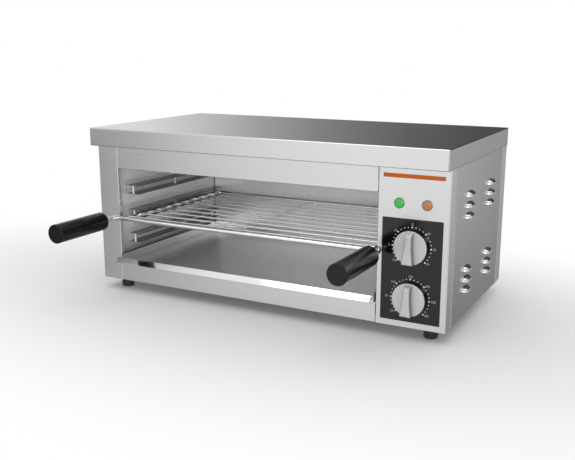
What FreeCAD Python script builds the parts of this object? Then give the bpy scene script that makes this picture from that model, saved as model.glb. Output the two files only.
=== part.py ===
import FreeCAD, Part
import os
import re
import Sketcher
from FreeCAD import Placement, Rotation, Vector

# Counter-top salamander toaster: a stainless casing round an open-fronted heated cavity, a wire rack
# that slides on rails in three levels, a drip tray, and a control column with two dials. Millimetres.
# Case frame, in which every size below is given: X from the middle of the casing to the right,
# Y from the casing's front face to the back, Z from the underside of the base plate up.
# Part frame, in which the pieces are written: the same directions, moved so that the origin is
# under the middle of the whole object, on the surface that the feet stand on.

doc = FreeCAD.newDocument("toaster")
sheet = doc.addObject("Spreadsheet::Sheet", "Sizes")

# Driving sizes
sizes = {
    # Casing
    "caseWidth": 607.8,
    "caseDepth": 306.4,
    "sheetGauge": 0.8,
    "sheetBend": 1.4,
    "leftFlange": 39.9,
    "flangeLip": 7.0,
    "rearFlange": 15.0,
    "seamGap": 0.6,
    "lapWidth": 12.0,
    "joggle": 4.0,
    # Lid
    "lidTop": 258.6,
    "lidSkirt": 29.2,
    "lidOverhang": 18.3,
    "lidGap": 0.3,
    # Opening and the fascias round it
    "openingTop": 191.0,
    "sillTop": 28.0,
    "fasciaReturn": 14.0,
    "controlWidth": 104.4,
    "controlReturn": 24.0,
    "controlLip": 10.0,
    "rearReturn": 23.4,
    "baseFlange": 12.0,
    # Cavity liner
    "leftInset": 8.0,
    "rightInset": 16.5,
    "rearInset": 4.4,
    "ceilingRise": 26.0,
    "bearerWidth": 30.0,
    "bearerSetback": 18.0,
    "bearerInset": 90.0,
    # Rails and their pins
    "railGauge": 1.2,
    "railFlange": 25.0,
    "slotHeight": 13.0,
    "firstLevel": 60.8,
    "levelPitch": 41.8,
    "levelCount": 3,
    "railSetback": 29.0,
    "railRearGap": 10.0,
    "pinRadius": 1.5,
    "pinInset": 14.0,
    "pinSetback": 1.8,
    "pinRearMargin": 21.2,
    "pinCount": 3,
    # Rack
    "rackLevel": 1,
    "rodRadius": 4.0,
    "rodInset": 22.0,
    "rodBend": 12.0,
    "frontBarReach": 8.5,
    "frontBarLift": 1.9,
    "frontBarOverrun": 3.4,
    "rearBarGap": 20.5,
    "restGap": 0.3,
    "wireRadius": 1.5,
    "wireLift": 3.4,
    "wireStart": 5.5,
    "lastWireGap": 28.5,
    "wireCount": 10,
    "weldSink": 0.3,
    "centreRodRadius": 2.0,
    "centreRodOffset": -8.5,
    # Handles
    "handleOutsetLeft": 19.15,
    "handleOutsetRight": 10.05,
    "handleRodRadius": 3.2,
    "gripRadius": 15.0,
    "gripNear": 38.6,
    "gripLength": 108.0,
    "gripRound": 4.0,
    "gripChamfer": 0.6,
    "gripBoreDepth": 62.0,
    "studFit": 0.05,
    # Drip tray
    "trayGap": 0.3,
    "trayWall": 15.4,
    "trayFront": 4.0,
    "trayBackGap": 2.0,
    "traySideGap": 1.5,
    "trayRightGap": 1.2,
    "trayCrest": 10.9,
    "lipReach": 7.0,
    "lipDrop": 8.5,
    "lipOverlap": 6.0,
    "lipRightGap": 5.0,
    # Louvres in the right side cover
    "louvreRadius": 7.2,
    "louvreDepth": 6.8,
    "louvreStraight": 13.0,
    "louvreEnd": 7.0,
    "louvrePitch": 15.9,
    "louvreCount": 3,
    "louvreLow": 37.0,
    "louvreHigh": 148.2,
    "louvreFront": 93.5,
    "louvreRearInset": 96.2,
    # Control panel
    "dialInset": 52.9,
    "timerZ": 117.8,
    "thermostatZ": 42.7,
    "plateGauge": 1.0,
    "plateWidth": 88.2,
    "plateBottom": 8.0,
    "plateHeight": 149.3,
    "stripWidth": 88.8,
    "stripBottom": 213.8,
    "stripHeight": 5.8,
    "stripGauge": 0.4,
    "lampZ": 178.4,
    "lampSpacing": 40.3,
    "lampRadius": 7.65,
    "lampRim": 1.6,
    "lampDomeRadius": 6.2,
    "lampDome": 1.8,
    "lampDomeRound": 1.2,
    "holderRadius": 5.8,
    "holderLength": 26.0,
    "holderNutRadius": 8.6,
    "holderNut": 4.0,
    "tabWidth": 4.8,
    "tabGauge": 0.8,
    "tabLength": 8.0,
    # Knobs, shafts and what they turn
    "knobRadius": 24.2,
    "knobGap": 0.5,
    "knobDisc": 7.5,
    "knobRound": 1.0,
    "knobHeight": 18.4,
    "knobBarTop": 4.5,
    "knobBarWaist": 5.6,
    "knobBarBottom": 8.4,
    "knobBarBevel": 3.4,
    "knobBarRound": 0.7,
    "knobRest": 2.0,
    "knobBoreDepth": 12.0,
    "shaftRadius": 3.0,
    "shaftFit": 0.08,
    "shaftHole": 5.0,
    "shaftSocket": 12.0,
    "timerSide": 44.0,
    "timerDepth": 38.0,
    "thermostatSide": 34.0,
    "thermostatDepth": 30.0,
    "screwSpacing": 28.0,
    "headRadius": 3.4,
    "shankRadius": 1.5,
    "shankLength": 8.0,
    "headHeight": 1.4,
    "holeGap": 0.3,
    # Heating elements
    "elementRadius": 4.0,
    "elementBend": 30.0,
    "elementDrop": 14.0,
    "elementFront": 100.0,
    "elementRear": 91.4,
    "elementLeft": 18.0,
    "elementTail": 20.0,
    "hangerInset": 60.0,
    "hangerGauge": 1.2,
    "hangerDrop": 20.0,
    "hangerMargin": 16.0,
    "sleeveRadius": 7.0,
    "sleeveLength": 5.0,
    # Thermostat bulb and capillary
    "capillaryRadius": 1.0,
    "capillaryBend": 10.0,
    "capillaryInset": 17.9,
    "capillaryY": 26.0,
    "capillaryRise": 1.0,
    "bulbRadius": 3.0,
    "bulbLength": 80.0,
    "bulbInset": 66.0,
    "bulbClipWidth": 12.0,
    # Parts on the back and on the base
    "glandInset": 41.9,
    "glandZ": 38.0,
    "glandThread": 8.0,
    "glandHex": 11.0,
    "glandCollar": 6.0,
    "glandCap": 9.5,
    "glandReach": 18.0,
    "glandBore": 4.5,
    "glandNut": 4.0,
    "slotWidth": 4.0,
    "slotLength": 44.0,
    "slotPitch": 10.0,
    "slotCount": 8,
    "slotBottom": 120.0,
    "blockWidth": 46.0,
    "blockDepth": 20.0,
    "blockHeight": 22.0,
    "blockInset": 66.4,
    "limiterRadius": 8.0,
    "limiterLength": 14.0,
    "limiterY": 190.0,
    "limiterZ": 176.0,
    "screwInset": 180.0,
    # Feet
    "footRadius": 10.5,
    "footHeight": 19.4,
    "footRound": 1.5,
    "footInsetX": 28.9,
    "footInsetY": 27.0,
    "footBore": 5.5,
    "footBoreDepth": 9.0,
    "footScrew": 2.0,
    "footNutRadius": 4.0,
    "footNut": 3.2,
}

# Places worked out from the driving sizes
places = {
    "frontFace": "(gripNear + gripLength - caseDepth - glandReach) / 2",
    "caseHalf": "caseWidth / 2",
    "panelTop": "lidTop - sheetGauge - lidGap",
    "lidHalf": "caseHalf + lidGap + sheetGauge",
    "lidBack": "caseDepth + lidGap + sheetGauge",
    "lidBottom": "lidTop - lidSkirt",
    "openingLeft": "leftFlange - caseHalf",
    "controlLeft": "caseHalf - controlWidth",
    "fasciaRight": "controlLeft - seamGap",
    "openingMiddle": "(openingLeft + fasciaRight) / 2",
    "linerLeft": "openingLeft - leftInset",
    "linerRight": "controlLeft + rightInset",
    "linerBack": "caseDepth - rearInset",
    "linerFloor": "sillTop + sheetGauge",
    "ceilingHeight": "openingTop + ceilingRise",
    "cavityMiddle": "(linerLeft + linerRight) / 2",
    "coverFront": "controlReturn + seamGap",
    "coverRear": "caseDepth - rearReturn - seamGap",
    "louvreRear": "caseDepth - louvreRearInset",
    "dialX": "caseHalf - dialInset",
    "pinPitch": "(linerBack - railRearGap - railSetback - pinSetback - pinRearMargin) / (pinCount - 1)",
    "rearBarPlace": "linerBack - rearBarGap",
    "wirePitch": "(rearBarPlace - lastWireGap - wireStart) / (wireCount - 1)",
    "rodZ": "firstLevel + rackLevel * levelPitch + restGap + rodRadius",
    "rackLeft": "linerLeft + rodInset",
    "rackRight": "linerRight - rodInset",
    "frontBarZ": "rodZ + frontBarLift",
    "wireZ": "rodZ + wireLift",
    "centreRodZ": "wireZ - wireRadius - centreRodRadius + weldSink",
    "handleLeft": "rackLeft - handleOutsetLeft",
    "handleRight": "rackRight + handleOutsetRight",
    "gripEnd": "gripNear + gripLength",
    "trayFloor": "linerFloor + trayGap",
    "trayLeft": "openingLeft + traySideGap",
    "trayRight": "fasciaRight - trayRightGap",
    "trayBack": "linerBack - trayBackGap",
    "trayTop": "trayFloor + trayCrest",
    "lipLeft": "openingLeft - lipOverlap",
    "lipRight": "controlLeft - lipRightGap",
    "plateFront": "0 - plateGauge",
    "knobBack": "plateFront - knobGap",
    "elementZ": "ceilingHeight - elementDrop",
    "elementPitch": "caseDepth - elementRear - elementFront",
    "elementEnd": "linerRight + elementTail",
    "elementStart": "linerLeft + elementLeft + elementBend",
    "capillaryX": "caseHalf - capillaryInset",
    "capillaryZ": "elementZ + capillaryRise",
    "bulbX": "linerRight - bulbInset",
    "glandX": "caseHalf - glandInset",
    "blockY": "caseDepth - blockInset",
    "coverScrewZ": "lidBottom + lidSkirt / 2",
    "baseScrewZ": "baseFlange / 2",
    "fasciaScrewY": "fasciaReturn / 2",
    "fasciaScrewPitch": "(fasciaRight - openingLeft) * 0.3",
    "flangeScrewX": "(rearFlange - caseWidth) / 2",
    "footX": "caseHalf - footInsetX",
    "footRearY": "caseDepth - footInsetY",
}

for row, (alias, size) in enumerate(sizes.items(), start=1):
    sheet.set("A%d" % row, alias)
    sheet.set("B%d" % row, str(size))
    sheet.setAlias("B%d" % row, alias)
doc.recompute()

word = re.compile(r"[A-Za-z]\w*")


# Writes a formula of named sizes and places as an expression on the sheet's cells
def bound(text):
    def swap(match):
        name = match.group()
        if name in places:
            return "(" + bound(places[name]) + ")"
        return "Sizes." + name if name in sizes else name

    return word.sub(swap, str(text))


def value(text):
    return float(sheet.evalExpression(bound(text)))


def bind(item, field, text):
    item.setExpression(field, bound(text))


# Moves a piece from the case frame to the part frame and to its place there
def settle(item, x="0", y="0", z="0", turn=None):
    if turn:
        item.Placement = Placement(Vector(), turn)
    bind(item, "Placement.Base.x", x)
    bind(item, "Placement.Base.y", "frontFace + (%s)" % y)
    bind(item, "Placement.Base.z", "footHeight + (%s)" % z)


# Part primitives and booleans

along = {
    "x": Rotation(Vector(0, 1, 0), 90),
    "y": Rotation(Vector(1, 0, 0), -90),
    "z": Rotation(),
}


def box(name, x, y, z):
    item = doc.addObject("Part::Box", name)
    for field, (low, high) in zip(("Length", "Width", "Height"), (x, y, z)):
        bind(item, field, "(%s) - (%s)" % (high, low))
    settle(item, x[0], y[0], z[0])
    return item


def cylinder(name, radius, axis, start, end, across):
    item = doc.addObject("Part::Cylinder", name)
    bind(item, "Radius", radius)
    bind(item, "Height", "(%s) - (%s)" % (end, start))
    spot = dict(zip([letter for letter in "xyz" if letter != axis], across))
    spot[axis] = start
    settle(item, spot["x"], spot["y"], spot["z"], along[axis])
    return item


# A quarter ring of round rod, in the XY plane or, stood up, in the XZ plane
def bend(name, ring, radius, centre, quarter, upright=False, sweep=90):
    item = doc.addObject("Part::Torus", name)
    bind(item, "Radius1", ring)
    bind(item, "Radius2", radius)
    item.Angle3 = sweep
    turn = Rotation(Vector(0, 0, 1), 90 * quarter)
    if upright:
        turn = Rotation(Vector(1, 0, 0), 90).multiply(turn)
    settle(item, centre[0], centre[1], centre[2], turn)
    return item


def fuse(name, *shapes):
    item = doc.addObject("Part::MultiFuse", name)
    item.Shapes = list(shapes)
    return item


def cut(name, base, *tools):
    item = doc.addObject("Part::Cut", name)
    item.Base = base
    item.Tool = tools[0] if len(tools) == 1 else fuse(name + "_cutters", *tools)
    return item


def group(name, shapes):
    item = doc.addObject("Part::Compound", name)
    item.Links = list(shapes)
    return item


# Part design bodies

nodes = []
recesses = []
roles = {"XY": "XY_Plane", "XZ": "XZ_Plane", "YZ": "YZ_Plane"}


def node(item, name):
    item.Label = name
    nodes.append(item)
    return item


def body(name):
    item = doc.addObject("PartDesign::Body", name)
    settle(item)
    return node(item, name)


def origin(owner, role):
    return next(item for item in owner.Origin.OriginFeatures if item.Role == role)


def drawing(owner, plane, level):
    item = owner.newObject("Sketcher::SketchObject", owner.Name + "_sketch")
    item.AttachmentSupport = (origin(owner, roles[plane]), [""])
    item.MapMode = "FlatFace"
    # The XZ plane faces forward, so its offset runs against Y
    bind(item, "AttachmentOffset.Base.z", "0 - (%s)" % level if plane == "XZ" else level)
    return item


def pin(sketch, geometry, end, field, text):
    rule = Sketcher.Constraint(field, -1, 1, geometry, end, value(text))
    index = sketch.addConstraint(rule)
    bind(sketch, "Constraints[%d]" % index, text)


def polygon(sketch, corners):
    first = sketch.GeometryCount
    spots = [Vector(value(u), value(v), 0) for u, v in corners]
    for index, spot in enumerate(spots):
        sketch.addGeometry(Part.LineSegment(spot, spots[(index + 1) % len(spots)]), False)
    for index, (u, v) in enumerate(corners):
        after = first + (index + 1) % len(corners)
        sketch.addConstraint(Sketcher.Constraint("Coincident", first + index, 2, after, 1))
        pin(sketch, first + index, 1, "DistanceX", u)
        pin(sketch, first + index, 1, "DistanceY", v)


def circle(sketch, u, v, radius):
    spot = Vector(value(u), value(v), 0)
    index = sketch.addGeometry(Part.Circle(spot, Vector(0, 0, 1), value(radius)), False)
    rule = sketch.addConstraint(Sketcher.Constraint("Radius", index, value(radius)))
    bind(sketch, "Constraints[%d]" % rule, radius)
    pin(sketch, index, 3, "DistanceX", u)
    pin(sketch, index, 3, "DistanceY", v)


def draw(sketch, outlines):
    for outline in outlines:
        if outline[0] == "circle":
            circle(sketch, *outline[1:])
        else:
            polygon(sketch, outline)


def rectangle(u, v):
    return [(u[0], v[0]), (u[1], v[0]), (u[1], v[1]), (u[0], v[1])]


# A hexagon whose flats lie half apart from its middle
def hexagon(u, v, half):
    corner = "%s %s (%s) * 2 / 1.7320508"
    short = "%s %s (%s) / 1.7320508"
    flat = "%s %s (%s)"
    return [
        (corner % (u, "+", half), v),
        (short % (u, "+", half), flat % (v, "+", half)),
        (short % (u, "-", half), flat % (v, "+", half)),
        (corner % (u, "-", half), v),
        (short % (u, "-", half), flat % (v, "-", half)),
        (short % (u, "+", half), flat % (v, "-", half)),
    ]


def pad(owner, plane, low, high, *outlines):
    sketch = drawing(owner, plane, high if plane == "XZ" else low)
    draw(sketch, outlines)
    item = owner.newObject("PartDesign::Pad", owner.Name + "_pad")
    item.Profile = sketch
    bind(item, "Length", "(%s) - (%s)" % (high, low))
    return item


def pocket(owner, plane, low, high, *outlines):
    before = owner.Tip
    sketch = drawing(owner, plane, low if plane == "XZ" else high)
    draw(sketch, outlines)
    item = owner.newObject("PartDesign::Pocket", owner.Name + "_pocket")
    item.Profile = sketch
    bind(item, "Length", "(%s) - (%s)" % (high, low))
    recesses.append((item, before))
    return item


def repeat(owner, feature, axis, step, count):
    item = owner.newObject("PartDesign::LinearPattern", owner.Name + "_row")
    item.Originals = [feature]
    item.Direction = (origin(owner, axis + "_Axis"), [""])
    bind(item, "Length", "(%s) * (%s - 1)" % (step, count))
    bind(item, "Occurrences", count)
    owner.Tip = item
    return item


# Rounds or bevels the edges of the body's last feature that a test picks
def soften(owner, kind, size, test):
    doc.recompute()
    last = owner.Tip
    names = ["Edge%d" % i for i, edge in enumerate(last.Shape.Edges, start=1) if test(edge)]
    item = owner.newObject("PartDesign::" + kind, owner.Name + "_" + kind.lower())
    item.Base = (last, names)
    bind(item, "Radius" if kind == "Fillet" else "Size", size)
    return item


def spread(edge, axis):
    bounds = edge.BoundBox
    return {"x": bounds.XLength, "y": bounds.YLength, "z": bounds.ZLength}[axis]


def near(first, second):
    return abs(first - second) < 1e-4


def upright(edge):
    return near(spread(edge, "x"), 0) and near(spread(edge, "y"), 0)


# Lid: a box folded from one sheet, open below, with a return under its overhanging front


def make_top_cover():
    lid = body("top_cover")
    outer = rectangle(("0 - lidHalf", "lidHalf"), ("0 - lidOverhang", "lidBack"))
    pad(lid, "XY", "lidBottom", "lidTop", outer)
    top = value("lidTop")
    soften(lid, "Fillet", "sheetBend", lambda edge: upright(edge) or edge.BoundBox.ZMin > top - 1e-4)
    inner = rectangle(
        ("sheetGauge - lidHalf", "lidHalf - sheetGauge"),
        ("sheetGauge - lidOverhang", "lidBack - sheetGauge"),
    )
    pocket(lid, "XY", "lidBottom", "lidTop - sheetGauge", inner)
    shelf = rectangle(
        ("sheetGauge - lidHalf", "lidHalf - sheetGauge"),
        ("sheetGauge - lidOverhang", "0 - lidGap"),
    )
    pad(lid, "XY", "lidBottom", "lidBottom + sheetGauge", shelf)
    holes = [("circle", x, "coverScrewZ", "shankRadius + holeGap") for x in screw_row]
    pocket(lid, "XZ", "lidBack - sheetGauge", "lidBack", *holes)


screw_row = ("0 - screwInset", "0", "screwInset")
screw_column = ("screwInset * 0.25", "screwInset * 0.7", "screwInset * 1.15")


# Side panels, rear panel and base plate


def make_left_side_panel():
    panel = body("left_side_panel")
    outline = [
        ("openingLeft", "0"),
        ("0 - caseHalf", "0"),
        ("0 - caseHalf", "caseDepth"),
        ("rearFlange - caseHalf", "caseDepth"),
        ("rearFlange - caseHalf", "caseDepth - sheetGauge"),
        ("sheetGauge - caseHalf", "caseDepth - sheetGauge"),
        ("sheetGauge - caseHalf", "sheetGauge"),
        ("openingLeft - sheetGauge", "sheetGauge"),
        ("openingLeft - sheetGauge", "flangeLip"),
        ("openingLeft", "flangeLip"),
    ]
    pad(panel, "XY", "0 - sheetGauge", "panelTop", outline)
    bends = (-value("caseHalf"), value("openingLeft"))
    outer = (0, value("caseDepth"))
    soften(
        panel,
        "Fillet",
        "sheetBend",
        lambda edge: upright(edge)
        and any(near(edge.BoundBox.XMin, x) for x in bends)
        and any(near(edge.BoundBox.YMin, y) for y in outer),
    )
    holes = [("circle", "flangeScrewX", z, "shankRadius + holeGap") for z in screw_column]
    pocket(panel, "XZ", "caseDepth - sheetGauge", "caseDepth", *holes)
    notch(panel, ("openingLeft - sheetGauge", "openingLeft"), ("sheetGauge", "flangeLip"))


# Clears the base plate's upturned flange from the foot of an inner strip
def notch(panel, x, y):
    pocket(panel, "XY", "0 - sheetGauge", "baseFlange + seamGap", rectangle(x, y))


# One louvre, pressed outward: a quarter of a round bar with drawn-out ends, open along its lower edge
def bulge(radius, end, y, z):
    x = "caseHalf + louvreDepth - louvreRadius"
    # The sector runs from the top, which is the bar's own X, outwards to its own Y
    quarter = Rotation(Vector(0, 0, 1), Vector(1, 0, 0), Vector(0, 1, 0), "XYZ")
    barrel = doc.addObject("Part::Cylinder", "louvre_barrel")
    barrel.Angle = 90
    bind(barrel, "Radius", radius)
    bind(barrel, "Height", "louvreStraight")
    settle(barrel, x, y + " - louvreStraight / 2", z, quarter)
    shapes = [barrel]
    for side, low, high in (("-", -90, 0), ("+", 0, 90)):
        cap = doc.addObject("Part::Ellipsoid", "louvre_end")
        cap.Angle1 = low
        cap.Angle2 = high
        cap.Angle3 = 90
        bind(cap, "Radius1", end)
        bind(cap, "Radius2", radius)
        bind(cap, "Radius3", radius)
        settle(cap, x, "%s %s louvreStraight / 2" % (y, side), z, quarter)
        shapes.append(cap)
    return shapes


def make_right_side_cover():
    outer = "caseHalf"
    inner = "caseHalf - sheetGauge"
    lapped = "caseHalf - 2 * sheetGauge"
    sheet_body = doc.addObject("PartDesign::Body", "right_side_sheet")
    settle(sheet_body)
    outline = [
        (outer, "coverFront"),
        (outer, "coverRear"),
        (inner, "coverRear"),
        (inner, "coverRear + lapWidth"),
        (lapped, "coverRear + lapWidth"),
        (lapped, "coverRear - joggle"),
        (inner, "coverRear - joggle"),
        (inner, "coverFront + joggle"),
        (lapped, "coverFront + joggle"),
        (lapped, "coverFront - lapWidth"),
        (inner, "coverFront - lapWidth"),
        (inner, "coverFront"),
    ]
    pad(sheet_body, "XY", "0 - sheetGauge", "panelTop", outline)
    notch(sheet_body, (lapped, inner), ("coverFront - lapWidth", "coverFront + joggle"))
    notch(sheet_body, (lapped, inner), ("coverRear - joggle", "coverRear + lapWidth"))
    hoods = []
    hollows = []
    for y in ("louvreFront", "louvreRear"):
        for low in ("louvreLow", "louvreHigh"):
            for step in range(int(sizes["louvreCount"])):
                z = "%s + %d * louvrePitch" % (low, step)
                hoods += bulge("louvreRadius", "louvreEnd", y, z)
                hollows += bulge("louvreRadius - sheetGauge", "louvreEnd - sheetGauge", y, z)
    behind = box(
        "louvre_back",
        (lapped + " - louvreRadius", inner),
        ("coverFront + joggle + seamGap", "coverRear - joggle - seamGap"),
        ("0", "panelTop"),
    )
    skin = cut("right_side_skin", fuse("right_side_blank", sheet_body, *hoods), behind, *hollows)
    node(skin, "right_side_cover")


def make_rear_panel():
    panel = body("rear_panel")
    left = "rearFlange + seamGap - caseHalf"
    outer = "caseDepth"
    inner = "caseDepth - sheetGauge"
    lapped = "caseDepth - 2 * sheetGauge"
    outline = [
        (left, outer),
        ("caseHalf", outer),
        ("caseHalf", "caseDepth - rearReturn"),
        ("caseHalf - sheetGauge", "caseDepth - rearReturn"),
        ("caseHalf - sheetGauge", inner),
        (left + " + joggle", inner),
        (left + " + joggle", lapped),
        (left + " - lapWidth", lapped),
        (left + " - lapWidth", inner),
        (left, inner),
    ]
    pad(panel, "XY", "0 - sheetGauge", "panelTop", outline)
    slot = rectangle(
        ("glandX - slotLength / 2", "glandX + slotLength / 2"),
        ("slotBottom", "slotBottom + slotWidth"),
    )
    vent = pocket(panel, "XZ", inner, outer, slot)
    repeat(panel, vent, "Z", "slotPitch", "slotCount")
    holes = [("circle", x, "coverScrewZ", "shankRadius + holeGap") for x in screw_row]
    holes += [("circle", x, "baseScrewZ", "shankRadius + holeGap") for x in screw_row]
    holes += [("circle", "glandX", "glandZ", "glandThread + holeGap")]
    pocket(panel, "XZ", inner, outer, *holes)
    laps = [("circle", "flangeScrewX", z, "shankRadius + holeGap") for z in screw_column]
    pocket(panel, "XZ", lapped, inner, *laps)
    notch(panel, (left + " - lapWidth", left + " + joggle"), (lapped, inner))


def make_base_plate():
    plate = body("base_plate")
    x = ("sheetGauge - caseHalf", "caseHalf - sheetGauge")
    y = ("sheetGauge", "caseDepth - sheetGauge")
    pad(plate, "XY", "0", "baseFlange", rectangle(x, y))
    inner = rectangle(
        (x[0] + " + sheetGauge", x[1] + " - sheetGauge"),
        (y[0] + " + sheetGauge", y[1] + " - sheetGauge"),
    )
    pocket(plate, "XY", "sheetGauge", "baseFlange", inner)
    holes = [("circle", x, y, "footScrew + holeGap") for x, y in foot_spots.values()]
    holes += [("circle", x, "fasciaScrewY", "shankRadius + holeGap") for x in fascia_screws]
    pocket(plate, "XY", "0", "sheetGauge", *holes)
    rear = [("circle", x, "baseScrewZ", "shankRadius + holeGap") for x in screw_row]
    pocket(plate, "XZ", y[1] + " - sheetGauge", y[1], *rear)


foot_spots = {
    "front_left": ("0 - footX", "footInsetY"),
    "front_right": ("footX", "footInsetY"),
    "rear_left": ("0 - footX", "footRearY"),
    "rear_right": ("footX", "footRearY"),
}
fascia_screws = ["openingMiddle + (%s) * fasciaScrewPitch" % step for step in (-1.5, -0.5, 0.5, 1.5)]


# Fascias round the opening, and the control column


def make_fascias():
    hood = body("hood_fascia")
    outline = [
        ("0", "openingTop"),
        ("fasciaReturn", "openingTop"),
        ("fasciaReturn", "openingTop + sheetGauge"),
        ("sheetGauge", "openingTop + sheetGauge"),
        ("sheetGauge", "panelTop - sheetGauge"),
        ("fasciaReturn", "panelTop - sheetGauge"),
        ("fasciaReturn", "panelTop"),
        ("0", "panelTop"),
    ]
    pad(hood, "YZ", "openingLeft", "fasciaRight", outline)
    sill = body("lower_fascia")
    outline = [
        ("0", "0 - sheetGauge"),
        ("fasciaReturn", "0 - sheetGauge"),
        ("fasciaReturn", "0"),
        ("sheetGauge", "0"),
        ("sheetGauge", "sillTop - sheetGauge"),
        ("fasciaReturn", "sillTop - sheetGauge"),
        ("fasciaReturn", "sillTop"),
        ("0", "sillTop"),
    ]
    pad(sill, "YZ", "openingLeft", "fasciaRight", outline)
    holes = [("circle", x, "fasciaScrewY", "shankRadius + holeGap") for x in fascia_screws]
    pocket(sill, "XY", "0 - sheetGauge", "0", *holes)


def make_control_fascia():
    fascia = body("control_fascia")
    outline = [
        ("controlLeft", "0"),
        ("caseHalf", "0"),
        ("caseHalf", "controlReturn"),
        ("caseHalf - sheetGauge", "controlReturn"),
        ("caseHalf - sheetGauge", "sheetGauge"),
        ("controlLeft + sheetGauge", "sheetGauge"),
        ("controlLeft + sheetGauge", "controlLip"),
        ("controlLeft", "controlLip"),
    ]
    pad(fascia, "XY", "0 - sheetGauge", "panelTop", outline)
    right = value("caseHalf")
    soften(
        fascia,
        "Fillet",
        "sheetBend",
        lambda edge: upright(edge) and near(edge.BoundBox.XMin, right) and near(edge.BoundBox.YMin, 0),
    )
    holes = [("circle", x, "lampZ", "holderRadius + holeGap") for x in lamp_spots.values()]
    for z in dials.values():
        holes.append(("circle", "dialX", z, "shaftHole"))
        holes += [("circle", x, z, "shankRadius + holeGap") for x in dial_screws]
    pocket(fascia, "XZ", "0", "sheetGauge", *holes)
    notch(fascia, ("controlLeft", "controlLeft + sheetGauge"), ("sheetGauge", "controlLip"))


dials = {"timer": "timerZ", "thermostat": "thermostatZ"}
dial_screws = ("dialX - screwSpacing / 2", "dialX + screwSpacing / 2")
lamp_spots = {"green": "dialX - lampSpacing / 2", "amber": "dialX + lampSpacing / 2"}


def make_scale_plate():
    plate = body("scale_plate")
    x = ("dialX - plateWidth / 2", "dialX + plateWidth / 2")
    outlines = [rectangle(x, ("plateBottom", "plateBottom + plateHeight"))]
    for z in dials.values():
        outlines.append(("circle", "dialX", z, "shaftHole"))
        outlines += [("circle", spot, z, "headRadius + holeGap") for spot in dial_screws]
    pad(plate, "XZ", "plateFront", "0", *outlines)


def make_accent_strip():
    strip = box(
        "strip",
        ("dialX - stripWidth / 2", "dialX + stripWidth / 2"),
        ("0 - stripGauge", "0"),
        ("stripBottom", "stripBottom + stripHeight"),
    )
    node(strip, "accent_strip")


# Cavity liner: five flat sheets, and two bearers under the floor


def make_liner():
    depth = ("sheetGauge", "linerBack")
    height = ("linerFloor", "ceilingHeight")
    across = ("linerLeft - sheetGauge", "linerRight + sheetGauge")
    node(box("left_wall", ("linerLeft - sheetGauge", "linerLeft"), depth, height), "cavity_left_wall")
    side = box("right_sheet", ("linerRight", "linerRight + sheetGauge"), depth, height)
    holes = [
        cylinder(
            "element_hole",
            "elementRadius + holeGap",
            "x",
            "linerRight - sheetGauge",
            "linerRight + 2 * sheetGauge",
            (y, "elementZ"),
        )
        for y in element_legs
    ]
    holes.append(
        cylinder(
            "capillary_hole",
            "bulbRadius + holeGap",
            "x",
            "linerRight - sheetGauge",
            "linerRight + 2 * sheetGauge",
            ("capillaryY", "capillaryZ"),
        )
    )
    node(cut("right_wall", side, *holes), "cavity_right_wall")
    rear = box("rear_wall", across, ("linerBack", "linerBack + sheetGauge"), height)
    node(rear, "cavity_rear_wall")
    deep = ("sheetGauge", "linerBack + sheetGauge")
    for name, low in (("floor", "sillTop"), ("ceiling", "ceilingHeight")):
        level = (low, low + " + sheetGauge")
        blank = box(name + "_sheet", across, deep, level)
        sides = (
            ("left_corner", (across[0], "openingLeft + seamGap"), "flangeLip + seamGap"),
            ("right_corner", ("fasciaRight", across[1]), "controlLip + seamGap"),
        )
        corners = [box(corner, span, (deep[0], end), level) for corner, span, end in sides]
        node(cut(name, blank, *corners), "cavity_" + name)
    for side, middle in (("left", "linerLeft + bearerInset"), ("right", "linerRight - bearerInset")):
        bearer = body("liner_bearer_" + side)
        low = middle + " - bearerWidth / 2"
        high = middle + " + bearerWidth / 2"
        outline = [
            (low, "sheetGauge"),
            (low, "sillTop"),
            (high, "sillTop"),
            (high, "sheetGauge"),
            (high + " - sheetGauge", "sheetGauge"),
            (high + " - sheetGauge", "sillTop - sheetGauge"),
            (low + " + sheetGauge", "sillTop - sheetGauge"),
            (low + " + sheetGauge", "sheetGauge"),
        ]
        pad(bearer, "XZ", "bearerSetback", "linerBack - bearerSetback", outline)


# Rails: six channels on the cavity walls, open towards the rack, with round pins between the flanges


def make_rails():
    pins = []
    for side, wall, inward in (("left", "linerLeft", "+"), ("right", "linerRight", "-")):
        free = "%s %s railFlange" % (wall, inward)
        web = "%s %s railGauge" % (wall, inward)
        for level in range(int(sizes["levelCount"])):
            shelf = "firstLevel + %d * levelPitch" % level
            rail = body("rail_%s_%d" % (side, level + 1))
            outline = [
                (wall, shelf + " - railGauge"),
                (free, shelf + " - railGauge"),
                (free, shelf),
                (web, shelf),
                (web, shelf + " + slotHeight"),
                (free, shelf + " + slotHeight"),
                (free, shelf + " + slotHeight + railGauge"),
                (wall, shelf + " + slotHeight + railGauge"),
            ]
            pad(rail, "XZ", "railSetback", "linerBack - railRearGap", outline)
            for step in range(int(sizes["pinCount"])):
                spot = (
                    "%s %s pinInset" % (wall, inward),
                    "railSetback + pinSetback + %d * pinPitch" % step,
                )
                pins.append(cylinder("pin", "pinRadius", "z", shelf, shelf + " + slotHeight", spot))
    node(group("pins", pins), "rail_pins")


# Rack: a rod frame whose front bar carries both handles, and a grid of wires on a centre rod


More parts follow.
